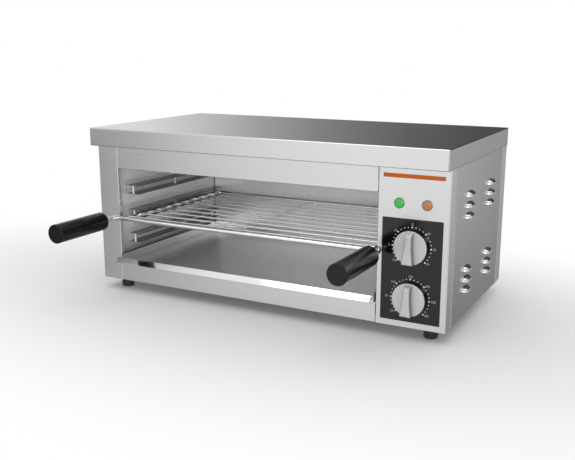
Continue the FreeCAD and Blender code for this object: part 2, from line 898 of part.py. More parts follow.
def make_rack():
    bar = cylinder(
        "front_bar",
        "rodRadius",
        "x",
        "handleLeft - frontBarOverrun",
        "handleRight + frontBarOverrun",
        ("0 - frontBarReach", "frontBarZ"),
    )
    parts = [bar]
    for x in ("rackLeft", "rackRight"):
        rod = ("0 - frontBarReach", "rearBarPlace - rodBend", (x, "rodZ"))
        parts.append(cylinder("side_rod", "rodRadius", "y", *rod))
    ends = ("rackLeft + rodBend", "rackRight - rodBend", ("rearBarPlace", "rodZ"))
    parts.append(cylinder("rear_bar", "rodRadius", "x", *ends))
    for x, quarter in (("rackLeft + rodBend", 1), ("rackRight - rodBend", 0)):
        centre = (x, "rearBarPlace - rodBend", "rodZ")
        parts.append(bend("rear_bend", "rodBend", "rodRadius", centre, quarter))
    frame = node(fuse("frame", *parts), "rack_frame")
    wires = []
    for step in range(int(sizes["wireCount"])):
        y = "wireStart + %d * wirePitch" % step
        wires.append(cylinder("wire", "wireRadius", "x", "rackLeft", "rackRight", (y, "wireZ")))
    spine = cylinder(
        "centre_rod",
        "centreRodRadius",
        "y",
        "0 - frontBarReach",
        "rearBarPlace",
        ("cavityMiddle + centreRodOffset", "centreRodZ"),
    )
    node(cut("grid", fuse("grid_wires", spine, *wires), frame), "rack_grid")
    for side, x in (("left", "handleLeft"), ("right", "handleRight")):
        stud = cylinder(
            "stud",
            "handleRodRadius",
            "y",
            "gripBoreDepth * 0.05 - gripNear - gripBoreDepth",
            "0 - frontBarReach",
            (x, "frontBarZ"),
        )
        node(cut("handle_rod", stud, frame), "handle_rod_" + side)
        grip = body("grip_" + side)
        pad(grip, "XZ", "0 - gripEnd", "0 - gripNear", ("circle", x, "frontBarZ", "gripRadius"))
        close = -value("gripNear")
        soften(grip, "Fillet", "gripRound", lambda edge: near(edge.BoundBox.YMin, close))
        far = -value("gripEnd")
        soften(grip, "Chamfer", "gripChamfer", lambda edge: near(edge.BoundBox.YMax, far))
        bore = ("circle", x, "frontBarZ", "handleRodRadius + studFit")
        pocket(grip, "XZ", "0 - gripNear - gripBoreDepth", "0 - gripNear", bore)


# Drip tray: a folded pan with a low front crest and a lip that slopes out and down


def make_drip_tray():
    tray = body("drip_tray")
    front = "0 - trayFront"
    top = "trayFloor + sheetGauge"
    thick = "sheetGauge * 1.6"
    section = [
        ("trayBack", "trayFloor"),
        (front, "trayFloor"),
        (front, "trayTop"),
        (front + " + sheetGauge", "trayTop"),
        (front + " + sheetGauge", top),
        ("trayBack", top),
    ]
    pad(tray, "YZ", "trayLeft", "trayRight", section)
    lip = [
        (front + " + sheetGauge", "trayTop - %s" % thick),
        (front, "trayTop - %s" % thick),
        (front + " - lipReach", "trayTop - lipDrop - %s" % thick),
        (front + " - lipReach", "trayTop - lipDrop"),
        (front, "trayTop"),
        (front + " + sheetGauge", "trayTop"),
    ]
    pad(tray, "YZ", "lipLeft", "lipRight", lip)
    walls = [
        ("trayLeft", front),
        ("trayLeft", "trayBack"),
        ("trayRight", "trayBack"),
        ("trayRight", front),
        ("trayRight - sheetGauge", front),
        ("trayRight - sheetGauge", "trayBack - sheetGauge"),
        ("trayLeft + sheetGauge", "trayBack - sheetGauge"),
        ("trayLeft + sheetGauge", front),
    ]
    pad(tray, "XY", "trayFloor", "trayFloor + trayWall", walls)


# Heating elements: two hairpins under the ceiling, with both ends through the right wall

element_legs = [
    "elementFront + %d * elementPitch %s elementBend" % (pair, side) for pair in (0, 1) for side in "-+"
]


def make_heating_elements():
    for pair, name in enumerate(("front", "rear")):
        middle = "elementFront + %d * elementPitch" % pair
        legs = [
            cylinder("leg", "elementRadius", "x", "elementStart", "elementEnd", (y, "elementZ"))
            for y in (middle + " - elementBend", middle + " + elementBend")
        ]
        centre = ("elementStart", middle, "elementZ")
        loop = bend("hairpin", "elementBend", "elementRadius", centre, 1, sweep=180)
        node(fuse("element", loop, *legs), "heating_element_" + name)
    reach = (element_legs[0] + " - hangerMargin", element_legs[-1] + " + hangerMargin")
    drop = ("ceilingHeight - hangerDrop", "ceilingHeight")
    for side, x in (("left", "elementStart + hangerInset"), ("right", "linerRight - hangerInset")):
        strip = box("hanger_strip", (x, x + " + hangerGauge"), reach, drop)
        holes = [
            cylinder(
                "hanger_hole",
                "elementRadius + holeGap",
                "x",
                x + " - hangerGauge",
                x + " + 2 * hangerGauge",
                (y, "elementZ"),
            )
            for y in element_legs
        ]
        node(cut("hanger", strip, *holes), "element_hanger_" + side)
    sleeves = []
    for y in element_legs:
        spot = (y, "elementZ")
        start = "linerRight + sheetGauge"
        end = start + " + sleeveLength"
        outer = cylinder("sleeve", "sleeveRadius", "x", start, end, spot)
        hole = cylinder("sleeve_bore", "elementRadius + studFit", "x", start, end, spot)
        sleeves.append(cut("bush", outer, hole))
    node(group("bushes", sleeves), "element_bushes")


# Controls: two knobs on shafts, the bodies that they turn, and two pilot lamps


# A knob about its own axis, turned to where it rests: a disc with a flared grip bar across it
def make_knob(name, z):
    knob = body("knob_" + name)
    settle(knob, "dialX", "0", z, Rotation(Vector(0, 1, 0), value("knobRest")))
    bind(knob, "Placement.Rotation.Angle", "knobRest")
    face = "knobBack - knobDisc"
    pad(knob, "XZ", face, "knobBack", ("circle", "0", "0", "knobRadius"))
    level = value(face)
    soften(knob, "Fillet", "knobRound", lambda edge: near(edge.BoundBox.YMax, level))
    end = "knobRadius - knobRound"
    rise = "sqrt((%s) ^ 2 - knobBarBottom ^ 2)" % end
    bar = [
        ("knobBarTop", end + " / 1.02"),
        ("0 - knobBarTop", end + " / 1.02"),
        ("0 - knobBarWaist", "0"),
        ("0 - knobBarBottom", "0 - " + rise),
        ("0 - knobBarBottom / 2", "0 - sqrt((%s) ^ 2 - knobBarBottom ^ 2 / 4)" % end),
        ("knobBarBottom / 2", "0 - sqrt((%s) ^ 2 - knobBarBottom ^ 2 / 4)" % end),
        ("knobBarBottom", "0 - " + rise),
        ("knobBarWaist", "0"),
    ]
    pad(knob, "XZ", "0 - knobHeight", face, bar)
    bevel = [
        ("0 - knobHeight", "%s / 1.02 - knobBarBevel" % end),
        (face, end + " / 1.02"),
        (face, "knobRadius * 1.5"),
        ("0 - 1.5 * knobHeight", "knobRadius * 1.5"),
        ("0 - 1.5 * knobHeight", "%s / 1.02 - knobBarBevel" % end),
    ]
    pocket(knob, "YZ", "0 - knobRadius", "knobRadius", bevel)
    front = -value("knobHeight")
    soften(knob, "Fillet", "knobBarRound", lambda edge: near(edge.BoundBox.YMax, front))
    bore = ("circle", "0", "0", "shaftRadius + studFit")
    pocket(knob, "XZ", "knobBack - knobBoreDepth", "knobBack", bore)


def make_controls():
    depths = {"timer": ("timerSide", "timerDepth"), "thermostat": ("thermostatSide", "thermostatDepth")}
    screws = []
    for name, z in dials.items():
        make_knob(name, z)
        side, depth = depths[name]
        end = "knobBack - knobBoreDepth + knobGap"
        axis = ("dialX", z)
        shaft = cylinder("shaft", "shaftRadius", "y", end, "sheetGauge + shaftSocket - knobGap", axis)
        node(shaft, name + "_shaft")
        case = box(
            "control_case",
            ("dialX - %s / 2" % side, "dialX + %s / 2" % side),
            ("sheetGauge", "sheetGauge + " + depth),
            ("%s - %s / 2" % (z, side), "%s + %s / 2" % (z, side)),
        )
        sockets = [
            cylinder("socket", "shaftRadius + shaftFit", "y", "0", "sheetGauge + shaftSocket", axis)
        ]
        for x in dial_screws:
            deep = ("0", "shankLength + holeGap", (x, z))
            sockets.append(cylinder("screw_hole", "shankRadius + studFit", "y", *deep))
            head = cylinder("screw_head", "headRadius", "y", "plateFront", "0", (x, z))
            shank = cylinder("screw_shank", "shankRadius", "y", "0", "shankLength", (x, z))
            screws.append(fuse("control_screw", head, shank))
        tabs = [
            box(
                "control_tab",
                ("%s - tabWidth / 2" % x, "%s + tabWidth / 2" % x),
                ("sheetGauge + " + depth, "sheetGauge + %s + tabLength" % depth),
                ("%s - tabGauge / 2" % z, "%s + tabGauge / 2" % z),
            )
            for x in ("dialX - %s / 4" % side, "dialX + %s / 4" % side)
        ]
        node(cut("control_body", fuse("control_block", case, *tabs), *sockets), name + "_body")
    node(group("control_screw_set", screws), "control_screws")
    for colour, x in lamp_spots.items():
        lens = body("lamp_lens_" + colour)
        rim = ("circle", x, "lampZ", "lampRadius")
        pad(lens, "XZ", "0 - lampRim", "0", rim)
        pad(lens, "XZ", "0 - lampRim - lampDome", "0 - lampRim", ("circle", x, "lampZ", "lampDomeRadius"))
        front = -value("lampRim + lampDome")
        soften(lens, "Fillet", "lampDomeRound", lambda edge: near(edge.BoundBox.YMax, front))
        spot = (x, "lampZ")
        barrel = cylinder("lamp_barrel", "holderRadius", "y", "0", "holderLength", spot)
        nut = cylinder("lamp_nut", "holderNutRadius", "y", "sheetGauge", "sheetGauge + holderNut", spot)
        tabs = [
            box(
                "lamp_tab",
                (middle + " - tabGauge / 2", middle + " + tabGauge / 2"),
                ("holderLength", "holderLength + tabLength"),
                ("lampZ - tabWidth / 2", "lampZ + tabWidth / 2"),
            )
            for middle in (x + " - holderRadius / 2", x + " + holderRadius / 2")
        ]
        node(fuse("lamp_holder", barrel, nut, *tabs), "lamp_holder_" + colour)


# Thermostat bulb behind the hood, its capillary down to the thermostat, and the limiter on the wall


def make_sensors():
    y = "capillaryY"
    side = "dialX + thermostatSide / 2"
    right = "capillaryX - capillaryBend"
    low = "thermostatZ + capillaryBend"
    high = "capillaryZ - capillaryBend"
    bulb_end = "bulbX - bulbLength"
    parts = [
        cylinder("capillary", "capillaryRadius", "x", side, right, (y, "thermostatZ")),
        bend("capillary_bend", "capillaryBend", "capillaryRadius", (right, y, low), 3, upright=True),
        cylinder("capillary", "capillaryRadius", "z", low, high, ("capillaryX", y)),
        bend("capillary_bend", "capillaryBend", "capillaryRadius", (right, y, high), 0, upright=True),
        cylinder("capillary", "capillaryRadius", "x", "bulbX", right, (y, "capillaryZ")),
        cylinder("bulb", "bulbRadius", "x", bulb_end, "bulbX", (y, "capillaryZ")),
    ]
    node(fuse("bulb_line", *parts), "thermostat_bulb")
    clips = []
    for x in (bulb_end + " + bulbClipWidth", "bulbX - 2 * bulbClipWidth"):
        width = (x, x + " + bulbClipWidth")
        hanger = box(
            "clip_strip",
            width,
            ("capillaryY - bulbRadius - 2 * sheetGauge", "capillaryY + bulbRadius + 2 * sheetGauge"),
            ("capillaryZ - bulbRadius - sheetGauge", "ceilingHeight"),
        )
        bore = cylinder(
            "clip_bore",
            "bulbRadius + holeGap",
            "x",
            x + " - sheetGauge",
            x + " + bulbClipWidth + sheetGauge",
            (y, "capillaryZ"),
        )
        clips.append(cut("clip", hanger, bore))
    node(group("clips", clips), "bulb_clips")
    spot = ("limiterY", "limiterZ")
    start = "linerRight + sheetGauge"
    can = cylinder("limiter_can", "limiterRadius", "x", start, start + " + limiterLength", spot)
    ears = box(
        "limiter_ears",
        (start, start + " + sheetGauge"),
        ("limiterY - 2 * limiterRadius", "limiterY + 2 * limiterRadius"),
        ("limiterZ - limiterRadius / 2", "limiterZ + limiterRadius / 2"),
    )
    node(fuse("limiter", can, ears), "safety_limiter")


# Supply: cable gland with its lock nut in the rear panel, and the terminal block on the base


def make_supply():
    spot = ("glandX", "glandZ")
    panel = "caseDepth - sheetGauge"
    thread = cylinder("gland_thread", "glandThread", "y", panel + " - 2 * glandNut", "caseDepth", spot)
    collar = doc.addObject("PartDesign::Body", "gland_collar")
    settle(collar)
    pad(collar, "XZ", "caseDepth", "caseDepth + glandCollar", hexagon("glandX", "glandZ", "glandHex"))
    cap = cylinder("gland_cap", "glandCap", "y", "caseDepth + glandCollar", "caseDepth + glandReach", spot)
    bore = ("y", panel + " - 3 * glandNut", "caseDepth + glandReach + glandNut", spot)
    solid = fuse("gland_blank", thread, collar, cap)
    node(cut("gland", solid, cylinder("gland_bore", "glandBore", *bore)), "cable_gland")
    nut = body("nut")
    nut.Label = "gland_nut"
    ring = hexagon("glandX", "glandZ", "glandHex")
    bore = ("circle", "glandX", "glandZ", "glandThread + studFit")
    pad(nut, "XZ", panel + " - glandNut", panel, ring, bore)
    block = box(
        "block_case",
        ("dialX - blockWidth / 2", "dialX + blockWidth / 2"),
        ("blockY", "blockY + blockDepth"),
        ("sheetGauge", "sheetGauge + blockHeight"),
    )
    wells = [
        cylinder(
            "block_well",
            "shankRadius * 2",
            "z",
            "blockHeight / 2",
            "blockHeight + 2 * sheetGauge",
            ("dialX + (%d) * blockWidth / 3.5" % step, "blockY + blockDepth / 2"),
        )
        for step in (-1, 0, 1)
    ]
    node(cut("block", block, *wells), "terminal_block")


# Feet, and the screws that hold the feet, the lower fascia, the rear panel and the lid


def make_feet():
    screws = []
    for corner, (x, y) in foot_spots.items():
        foot = body("foot_" + corner)
        pad(foot, "XY", "0 - footHeight", "0", ("circle", x, y, "footRadius"))
        floor = -value("footHeight")
        soften(foot, "Fillet", "footRound", lambda edge: near(edge.BoundBox.ZMax, floor))
        pocket(foot, "XY", "0 - footHeight", "0", ("circle", x, y, "footScrew + holeGap"))
        pocket(foot, "XY", "0 - footHeight", "footBoreDepth - footHeight", ("circle", x, y, "footBore"))
        seat = "footBoreDepth - footHeight"
        head = cylinder("foot_head", "footBore - holeGap", "z", seat + " - footNut", seat, (x, y))
        shank = cylinder("foot_shank", "footScrew", "z", seat, "sheetGauge + 2 * footNut", (x, y))
        nut = cylinder("foot_nut", "footNutRadius", "z", "sheetGauge", "sheetGauge + footNut", (x, y))
        screws.append(fuse("foot_fixing", head, shank, nut))
    node(group("foot_fixings", screws), "foot_screws")


def pan_screw(axis, face, outward, across):
    if outward > 0:
        head = (face, face + " + headHeight")
        shank = (face + " - shankLength", face)
    else:
        head = (face + " - headHeight", face)
        shank = (face, face + " + shankLength")
    return fuse(
        "pan_screw",
        cylinder("pan_head", "headRadius", axis, head[0], head[1], across),
        cylinder("pan_shank", "shankRadius", axis, shank[0], shank[1], across),
    )


def make_screws():
    below = [pan_screw("z", "0 - sheetGauge", -1, (x, "fasciaScrewY")) for x in fascia_screws]
    node(group("fascia_screw_set", below), "fascia_screws")
    behind = [pan_screw("y", "lidBack", 1, (x, "coverScrewZ")) for x in screw_row]
    behind += [pan_screw("y", "caseDepth", 1, (x, "baseScrewZ")) for x in screw_row]
    behind += [pan_screw("y", "caseDepth", 1, ("flangeScrewX", z)) for z in screw_column]
    node(group("rear_screw_set", behind), "rear_screws")


make_top_cover()
make_left_side_panel()
make_right_side_cover()
make_rear_panel()
make_base_plate()
make_fascias()
make_control_fascia()
make_scale_plate()
make_accent_strip()
make_liner()
make_rails()
make_rack()
make_drip_tray()
make_heating_elements()
make_controls()
make_sensors()
make_supply()
make_feet()
make_screws()
doc.recompute()

# Every object is sound, every pocket cuts, and every node is a valid solid or group of solids
for item in doc.Objects:
    if "Invalid" in item.State or "Error" in item.State:
        raise RuntimeError("%s failed: %s" % (item.Label, item.State))
for recess, before in recesses:
    if before and recess.Shape.Volume > before.Shape.Volume - 1e-6:
        raise RuntimeError("%s cuts nothing" % recess.Label)
for item in nodes:
    if item.Shape.isNull() or not item.Shape.isValid() or not item.Shape.Solids:
        raise RuntimeError("%s has no valid shape" % item.Label)

os.makedirs("parts", exist_ok=True)
for item in nodes:
    item.Shape.exportStep("parts/%s.step" % item.Label)
    solids = item.Shape.Solids
    print("%-22s %2d solid(s) %10.0f mm3" % (item.Label, len(solids), item.Shape.Volume))
print(len(nodes), "nodes")
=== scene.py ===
import bpy
import math
import numpy as np
from mathutils import Matrix, Vector


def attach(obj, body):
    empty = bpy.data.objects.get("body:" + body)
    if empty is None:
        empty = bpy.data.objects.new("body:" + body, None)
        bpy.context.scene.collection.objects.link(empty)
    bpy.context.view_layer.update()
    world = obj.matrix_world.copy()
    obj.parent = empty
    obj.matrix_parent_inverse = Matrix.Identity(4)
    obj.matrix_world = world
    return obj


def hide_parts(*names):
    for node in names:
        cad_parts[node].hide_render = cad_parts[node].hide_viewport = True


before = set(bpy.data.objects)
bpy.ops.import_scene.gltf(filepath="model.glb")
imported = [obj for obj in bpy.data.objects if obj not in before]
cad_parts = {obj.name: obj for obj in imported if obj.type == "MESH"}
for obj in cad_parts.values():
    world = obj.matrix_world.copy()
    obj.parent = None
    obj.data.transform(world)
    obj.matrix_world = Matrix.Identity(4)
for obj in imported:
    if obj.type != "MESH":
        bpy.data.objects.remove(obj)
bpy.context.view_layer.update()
print("frame loaded:", len(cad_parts), "nodes")

# Every size below is in millimetres in the case frame: X from the middle of the casing, Y from its
# front face to the back, Z from the underside of the base plate up. toFrame turns them into the row frame.
caseShift = np.array([0.0, -88.9, 19.4])
metre = 0.001  # one millimetre in metres


def toFrame(points):
    return (np.asarray(points, float) + caseShift) * metre


# A place along one axis, named X, Y or Z, in the row frame
def placeInFrame(axis, place):
    return (place + caseShift["XYZ".index(axis)]) * metre


# An 8-bit screen colour, or one grey level, as the linear colour that shaders take
def paint(colour):
    c = np.broadcast_to(colour, 3) / 255
    linear = np.where(c <= 0.04045, c / 12.92, ((c + 0.055) / 1.055) ** 2.4)
    return (*linear.tolist(), 1.0)


# Shapes: each returns (points, faces), points in mm


# Quads over a grid of points [u, v]; caps close the first and the last row.
def stitch(grid, closeV=False, capStart=False, capEnd=False):
    nu, nv = grid.shape[:2]
    index = np.arange(nu * nv).reshape(nu, nv)
    rows = np.hstack([index, index[:, :1]]) if closeV else index
    quads = np.stack([rows[:-1, :-1], rows[:-1, 1:], rows[1:, 1:], rows[1:, :-1]], -1).reshape(-1, 4)
    faces = [tuple(q) for q in quads.tolist()]
    if capStart:
        faces.append(tuple(index[0][::-1].tolist()))
    if capEnd:
        faces.append(tuple(index[-1].tolist()))
    return grid.reshape(-1, 3), faces


# Several shapes as one
def merge(*shapes):
    points, faces, count = [], [], 0
    for p, f in shapes:
        points.append(p)
        faces += [tuple(i + count for i in face) for face in f]
        count += len(p)
    return np.vstack(points), faces


# Points at one place become one, and faces lose the corners that fall together.
def weld(points, faces):
    found = np.unique(np.round(points, 4), axis=0, return_index=True, return_inverse=True)
    first, index = found[1], found[2].reshape(-1)
    kept = []
    for face in faces:
        face = [int(index[i]) for i in face]
        face = [here for here, before in zip(face, face[-1:] + face[:-1]) if here != before]
        if len(set(face)) > 2:
            kept.append(tuple(face))
    return points[first], kept


# A sheet given a thickness: its copy behind it, turned over, and a strip along every free edge.
def thicken(points, faces, depth):
    count = len(points)
    behind = [tuple(i + count for i in face[::-1]) for face in faces]
    edges = {(a, b) for face in faces for a, b in zip(face, face[1:] + face[:1])}
    strips = [(b, a, a + count, b + count) for a, b in sorted(edges) if (b, a) not in edges]
    return np.vstack([points, points - np.asarray(depth, float)]), faces + behind + strips


# A line through the corners, each rounded by an arc of its radius that touches both its runs. A place on
# the arc is (sin((1 - t) sweep) start + sin(t sweep) end) / sin(sweep) from the arc's centre.
def roundCorners(corners, radii, closed=True, steps=5):
    corners = np.asarray(corners, float)
    radii = np.broadcast_to(radii, len(corners))
    out = []
    for i, (here, radius) in enumerate(zip(corners, radii)):
        if radius <= 0 or (not closed and i in (0, len(corners) - 1)):
            out.append(here[None])
            continue
        a, b = corners[i - 1] - here, corners[(i + 1) % len(corners)] - here
        a, b = a / np.linalg.norm(a), b / np.linalg.norm(b)
        half = math.acos(np.clip(a @ b, -1, 1)) / 2
        if half > math.pi / 2 - 1e-4:  # a straight run has no corner to round
            out.append(here[None])
            continue
        centre = here + (a + b) / np.linalg.norm(a + b) * radius / math.sin(half)
        start = here + a * radius / math.tan(half) - centre
        end = here + b * radius / math.tan(half) - centre
        sweep = math.pi - 2 * half
        t = np.linspace(0, 1, steps)[:, None]
        out.append(centre + (np.sin((1 - t) * sweep) * start + np.sin(t * sweep) * end) / math.sin(sweep))
    return np.vstack(out)


# A lathe shape: pairs of radius and distance along the axis, carried round the axis. The sign of the area
# between the outline and the axis says which way the faces look.
def turned(outline, axis, centre, around, caps=True):
    outline = np.asarray(outline, float)
    loop = np.vstack([(0, outline[0, 1]), outline, (0, outline[-1, 1])])
    after = np.roll(loop, -1, axis=0)
    if np.sum(loop[:, 0] * after[:, 1] - after[:, 0] * loop[:, 1]) < 0:
        outline = outline[::-1]
    turn = np.linspace(0, 2 * math.pi, around, endpoint=False)
    across = {"x": (1, 2), "y": (2, 0), "z": (0, 1)}[axis]
    grid = np.zeros((len(outline), around, 3))
    grid[..., across[0]] = outline[:, :1] * np.cos(turn)
    grid[..., across[1]] = outline[:, :1] * np.sin(turn)
    grid[..., "xyz".index(axis)] = outline[:, 1:]
    return stitch(grid + np.asarray(centre, float), closeV=True, capStart=caps, capEnd=caps)


# A round profile carried along a path; each end is rounded over the last ends mm by a quarter arc.
def rod(path, radius, around, ends):
    path = np.asarray(path, float)
    way = np.gradient(path, axis=0)
    way /= np.linalg.norm(way, axis=1)[:, None]
    guide = np.array([0, 0, 1.0]) if np.abs(way[:, 2]).max() < 0.9 else np.array([0, 1.0, 0])
    side = np.cross(way, guide)
    side /= np.linalg.norm(side, axis=1)[:, None]
    up = np.cross(side, way)
    ends = min(ends, radius * 0.9)
    phi = np.linspace(0, math.pi / 2, 4)[:-1]
    near = path[0] + way[0] * (ends * (1 - np.cos(phi)))[:, None]
    far = path[-1] - way[-1] * (ends * (1 - np.cos(phi[::-1])))[:, None]
    body = path.copy()
    body[0] += way[0] * ends
    body[-1] -= way[-1] * ends
    lip = radius - ends + ends * np.sin(phi)
    centres = np.vstack([near, body, far])
    radii = np.concatenate([lip, np.full(len(path), radius), lip[::-1]])
    last = len(path) - 1
    pick = np.concatenate([np.zeros(len(phi), int), np.arange(len(path)), np.full(len(phi), last)])
    turn = np.linspace(0, 2 * math.pi, around, endpoint=False)
    ring = np.cos(turn)[None, :, None] * up[pick][:, None] + np.sin(turn)[None, :, None] * side[pick][:, None]
    return stitch(centres[:, None] + ring * radii[:, None, None], closeV=True, capStart=True, capEnd=True)


# A straight rod along one axis, through two coordinates across it
def straight(axis, start, end, across, radius, around, ends):
    spots = np.zeros((2, 3))
    i = "xyz".index(axis)
    spots[:, [k for k in range(3) if k != i]] = across
    spots[:, i] = (start, end)
    return rod(spots, radius, around, ends)


# A closed section with rounded bends, carried straight from low to high across its plane.
def fold(section, plane, low, high, radii):
    line = roundCorners(section, radii)
    order = {"xy": (0, 1, 2), "xz": (0, 2, 1), "yz": (1, 2, 0)}[plane]
    grid = np.zeros((2, len(line), 3))
    grid[..., order[0]] = line[:, 0]
    grid[..., order[1]] = line[:, 1]
    grid[..., order[2]] = [[low], [high]]
    area = np.sum(line[:, 0] * np.roll(line[:, 1], -1) - np.roll(line[:, 0], -1) * line[:, 1])
    if (area > 0) == (plane == "xz"):  # faces outwards, whichever way the section was drawn
        grid = grid[:, ::-1]
    return stitch(grid, closeV=True, capStart=True, capEnd=True)


# A rounded rectangle in XY, drawn at each pair of inset and height and closed over at both ends.
def ringed(x, y, outline, radius, steps=6):
    rings = []
    for inset, level in outline:
        corners = [
            (x[0] + inset, y[0] + inset), (x[1] - inset, y[0] + inset),
            (x[1] - inset, y[1] - inset), (x[0] + inset, y[1] - inset),
        ]
        flat = roundCorners(corners, max(radius - inset, 0.02), steps=steps)
        rings.append(np.column_stack([flat, np.full(len(flat), level)]))
    return stitch(np.array(rings), closeV=True, capStart=True, capEnd=True)


# A flat plate with edges rounded by quarter arcs, thin along one axis
def slab(x, y, z, edge, thin="y"):
    box = {"x": x, "y": y, "z": z}
    flat = [k for k in "xyz" if k != thin]
    low, high = box[thin]
    edge = min(edge, (high - low) * 0.45)
    phi = np.linspace(0, math.pi / 2, 3)
    outline = np.vstack([
        np.column_stack([edge * (1 - np.sin(phi)), low + edge * (1 - np.cos(phi))]),
        np.column_stack([edge * (1 - np.cos(phi)), high - edge * (1 - np.sin(phi))]),
    ])
    points, faces = ringed(box[flat[0]], box[flat[1]], outline, edge, steps=2)
    order = [flat.index(k) if k in flat else 2 for k in "xyz"]
    if thin == "y":  # X and Z in that order are left-handed
        faces = [face[::-1] for face in faces]
    return points[:, order], faces


# Makes one object from a shape, shades it smooth below an angle, and ties it to its body.
def piece(name, shape, material, body="casing", replaces=(), smooth=35):
    points, faces = weld(*shape)
    mesh = bpy.data.meshes.new(name)
    mesh.from_pydata(toFrame(points).tolist(), [], faces)
    mesh.polygons.foreach_set("use_smooth", np.ones(len(mesh.polygons), bool))
    mesh.set_sharp_from_angle(angle=math.radians(smooth))
    mesh.materials.append(material)
    mesh.update()
    made = bpy.data.objects.new(name, mesh)
    bpy.context.scene.collection.objects.link(made)
    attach(made, body)
    if replaces:
        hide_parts(*replaces)
    made.modifiers.new("flatFaces", "WEIGHTED_NORMAL").keep_sharp = True  # bends stay round, sheets stay flat


# Nodes: each function but feed makes one in a tree, from values or other outputs, and returns its output


# Gives a socket a value or another node's output
def feed(tree, value, socket):
    if hasattr(value, "links"):
        tree.links.new(value, socket)
    else:
        socket.default_value = value


def maths(tree, operation, *values):
    node = tree.nodes.new("ShaderNodeMath")
    node.operation = operation
    for socket, value in zip(node.inputs, values):
        feed(tree, value, socket)
    return node.outputs["Value"]


# From 0 at low to 1 at high, straight or as the soft step 3 t^2 - 2 t^3
def span(tree, value, low, high, soft=False):
    node = tree.nodes.new("ShaderNodeMapRange")
    node.interpolation_type = "SMOOTHSTEP" if soft else "LINEAR"
    node.inputs["From Min"].default_value = low
    node.inputs["From Max"].default_value = high
    feed(tree, value, node.inputs["Value"])
    return node.outputs["Result"]


# A colour ramp of levels, each one number or three, at places from 0 to 1
def ramp(tree, value, stops):
    node = tree.nodes.new("ShaderNodeValToRGB")
    elements = node.color_ramp.elements
    while len(elements) < len(stops):
        elements.new(0.5)
    for element, (place, level) in zip(elements, stops):
        element.position = place
    for element, (place, level) in zip(elements, stops):
        element.color = (*np.broadcast_to(level, 3).tolist(), 1.0)
    feed(tree, value, node.inputs["Fac"])
    return node.outputs["Color"]


# Two colours mixed by a share, or multiplied
def mix(tree, share, first, second, blend="MIX"):
    node = tree.nodes.new("ShaderNodeMix")
    node.data_type, node.blend_type = "RGBA", blend
    for name, value in (("Factor", share), ("A", first), ("B", second)):
        feed(tree, value, node.inputs[name])
    return node.outputs["Result"]


# One of the surface's coordinates: its place with Object, or the way it faces with Normal
def coordinate(tree, kind, axis):
    split = tree.nodes.new("ShaderNodeSeparateXYZ")
    tree.links.new(tree.nodes.new("ShaderNodeTexCoord").outputs[kind], split.inputs["Vector"])
    return split.outputs[axis]


# Finishes


# A named material with its shader's own sockets set directly
def finish(name, colour, metal, rough, **more):
    made = bpy.data.materials.new(name)
    made.use_nodes = True
    shader = made.node_tree.nodes["Principled BSDF"]
    shader.inputs["Base Color"].default_value = paint(colour)
    shader.inputs["Metallic"].default_value = metal
    shader.inputs["Roughness"].default_value = rough
    for socket, amount in more.items():
        shader.inputs[socket].default_value = amount
    return made


grain = {"detail": 3.0, "low": 0.3, "high": 0.7, "relief": 0.0002}


# A finish with a grain: noise on Object coordinates, stretched per axis, goes between two colours and two
# roughnesses, and gives a fine bump.
def grained(name, metal, stretch, colours, rough, bump=0.0, **more):
    made = finish(name, colours[0], metal, rough[0], **more)
    tree = made.node_tree
    nodes, links = tree.nodes, tree.links
    shader = nodes["Principled BSDF"]
    scale = nodes.new("ShaderNodeMapping")
    scale.inputs["Scale"].default_value = np.broadcast_to(stretch, 3).tolist()
    links.new(nodes.new("ShaderNodeTexCoord").outputs["Object"], scale.inputs["Vector"])
    noise = nodes.new("ShaderNodeTexNoise")
    noise.inputs["Scale"].default_value = 1.0
    noise.inputs["Detail"].default_value = grain["detail"]
    links.new(scale.outputs["Vector"], noise.inputs["Vector"])
    low, high = grain["low"], grain["high"]
    stops = [(place, paint(colour)[:3]) for place, colour in zip((low, high), colours)]
    links.new(ramp(tree, noise.outputs["Fac"], stops), shader.inputs["Base Color"])
    spread = nodes.new("ShaderNodeMapRange")
    for socket, value in zip(("From Min", "From Max", "To Min", "To Max"), (low, high, *rough)):
        spread.inputs[socket].default_value = value
    links.new(noise.outputs["Fac"], spread.inputs["Value"])
    links.new(spread.outputs["Result"], shader.inputs["Roughness"])
    if bump:
        relief = nodes.new("ShaderNodeBump")
        relief.inputs["Strength"].default_value = bump
        relief.inputs["Distance"].default_value = grain["relief"]
        links.new(noise.outputs["Fac"], relief.inputs["Height"])
        links.new(relief.outputs["Normal"], shader.inputs["Normal"])
    return made


# Fades the base colour to another one as a place along one axis goes from start to end; about turns that
# place into its distance from a middle.
def zone(made, axis, start, end, colour, about=None):
    tree = made.node_tree
    socket = tree.nodes["Principled BSDF"].inputs["Base Color"]
    place = coordinate(tree, "Object", axis)
    if about is None:
        share = span(tree, place, placeInFrame(axis, start), placeInFrame(axis, end))
    else:
        away = maths(tree, "ABSOLUTE", maths(tree, "SUBTRACT", place, placeInFrame(axis, about)))
        share = span(tree, away, start * metre, end * metre)
    tree.links.new(mix(tree, share, socket.links[0].from_socket, paint(colour)), socket)


# Paints shade into the base colour: multiplies it by levels at places along one axis.
def paintShadeAlong(made, axis, *stops):
    tree = made.node_tree
    socket = tree.nodes["Principled BSDF"].inputs["Base Color"]
    low, high = stops[0][0], stops[-1][0]
    share = span(tree, coordinate(tree, "Object", axis), placeInFrame(axis, low), placeInFrame(axis, high))
    shade = ramp(tree, share, [((place - low) / (high - low), level) for place, level in stops])
    tree.links.new(mix(tree, 1.0, socket.links[0].from_socket, shade, "MULTIPLY"), socket)
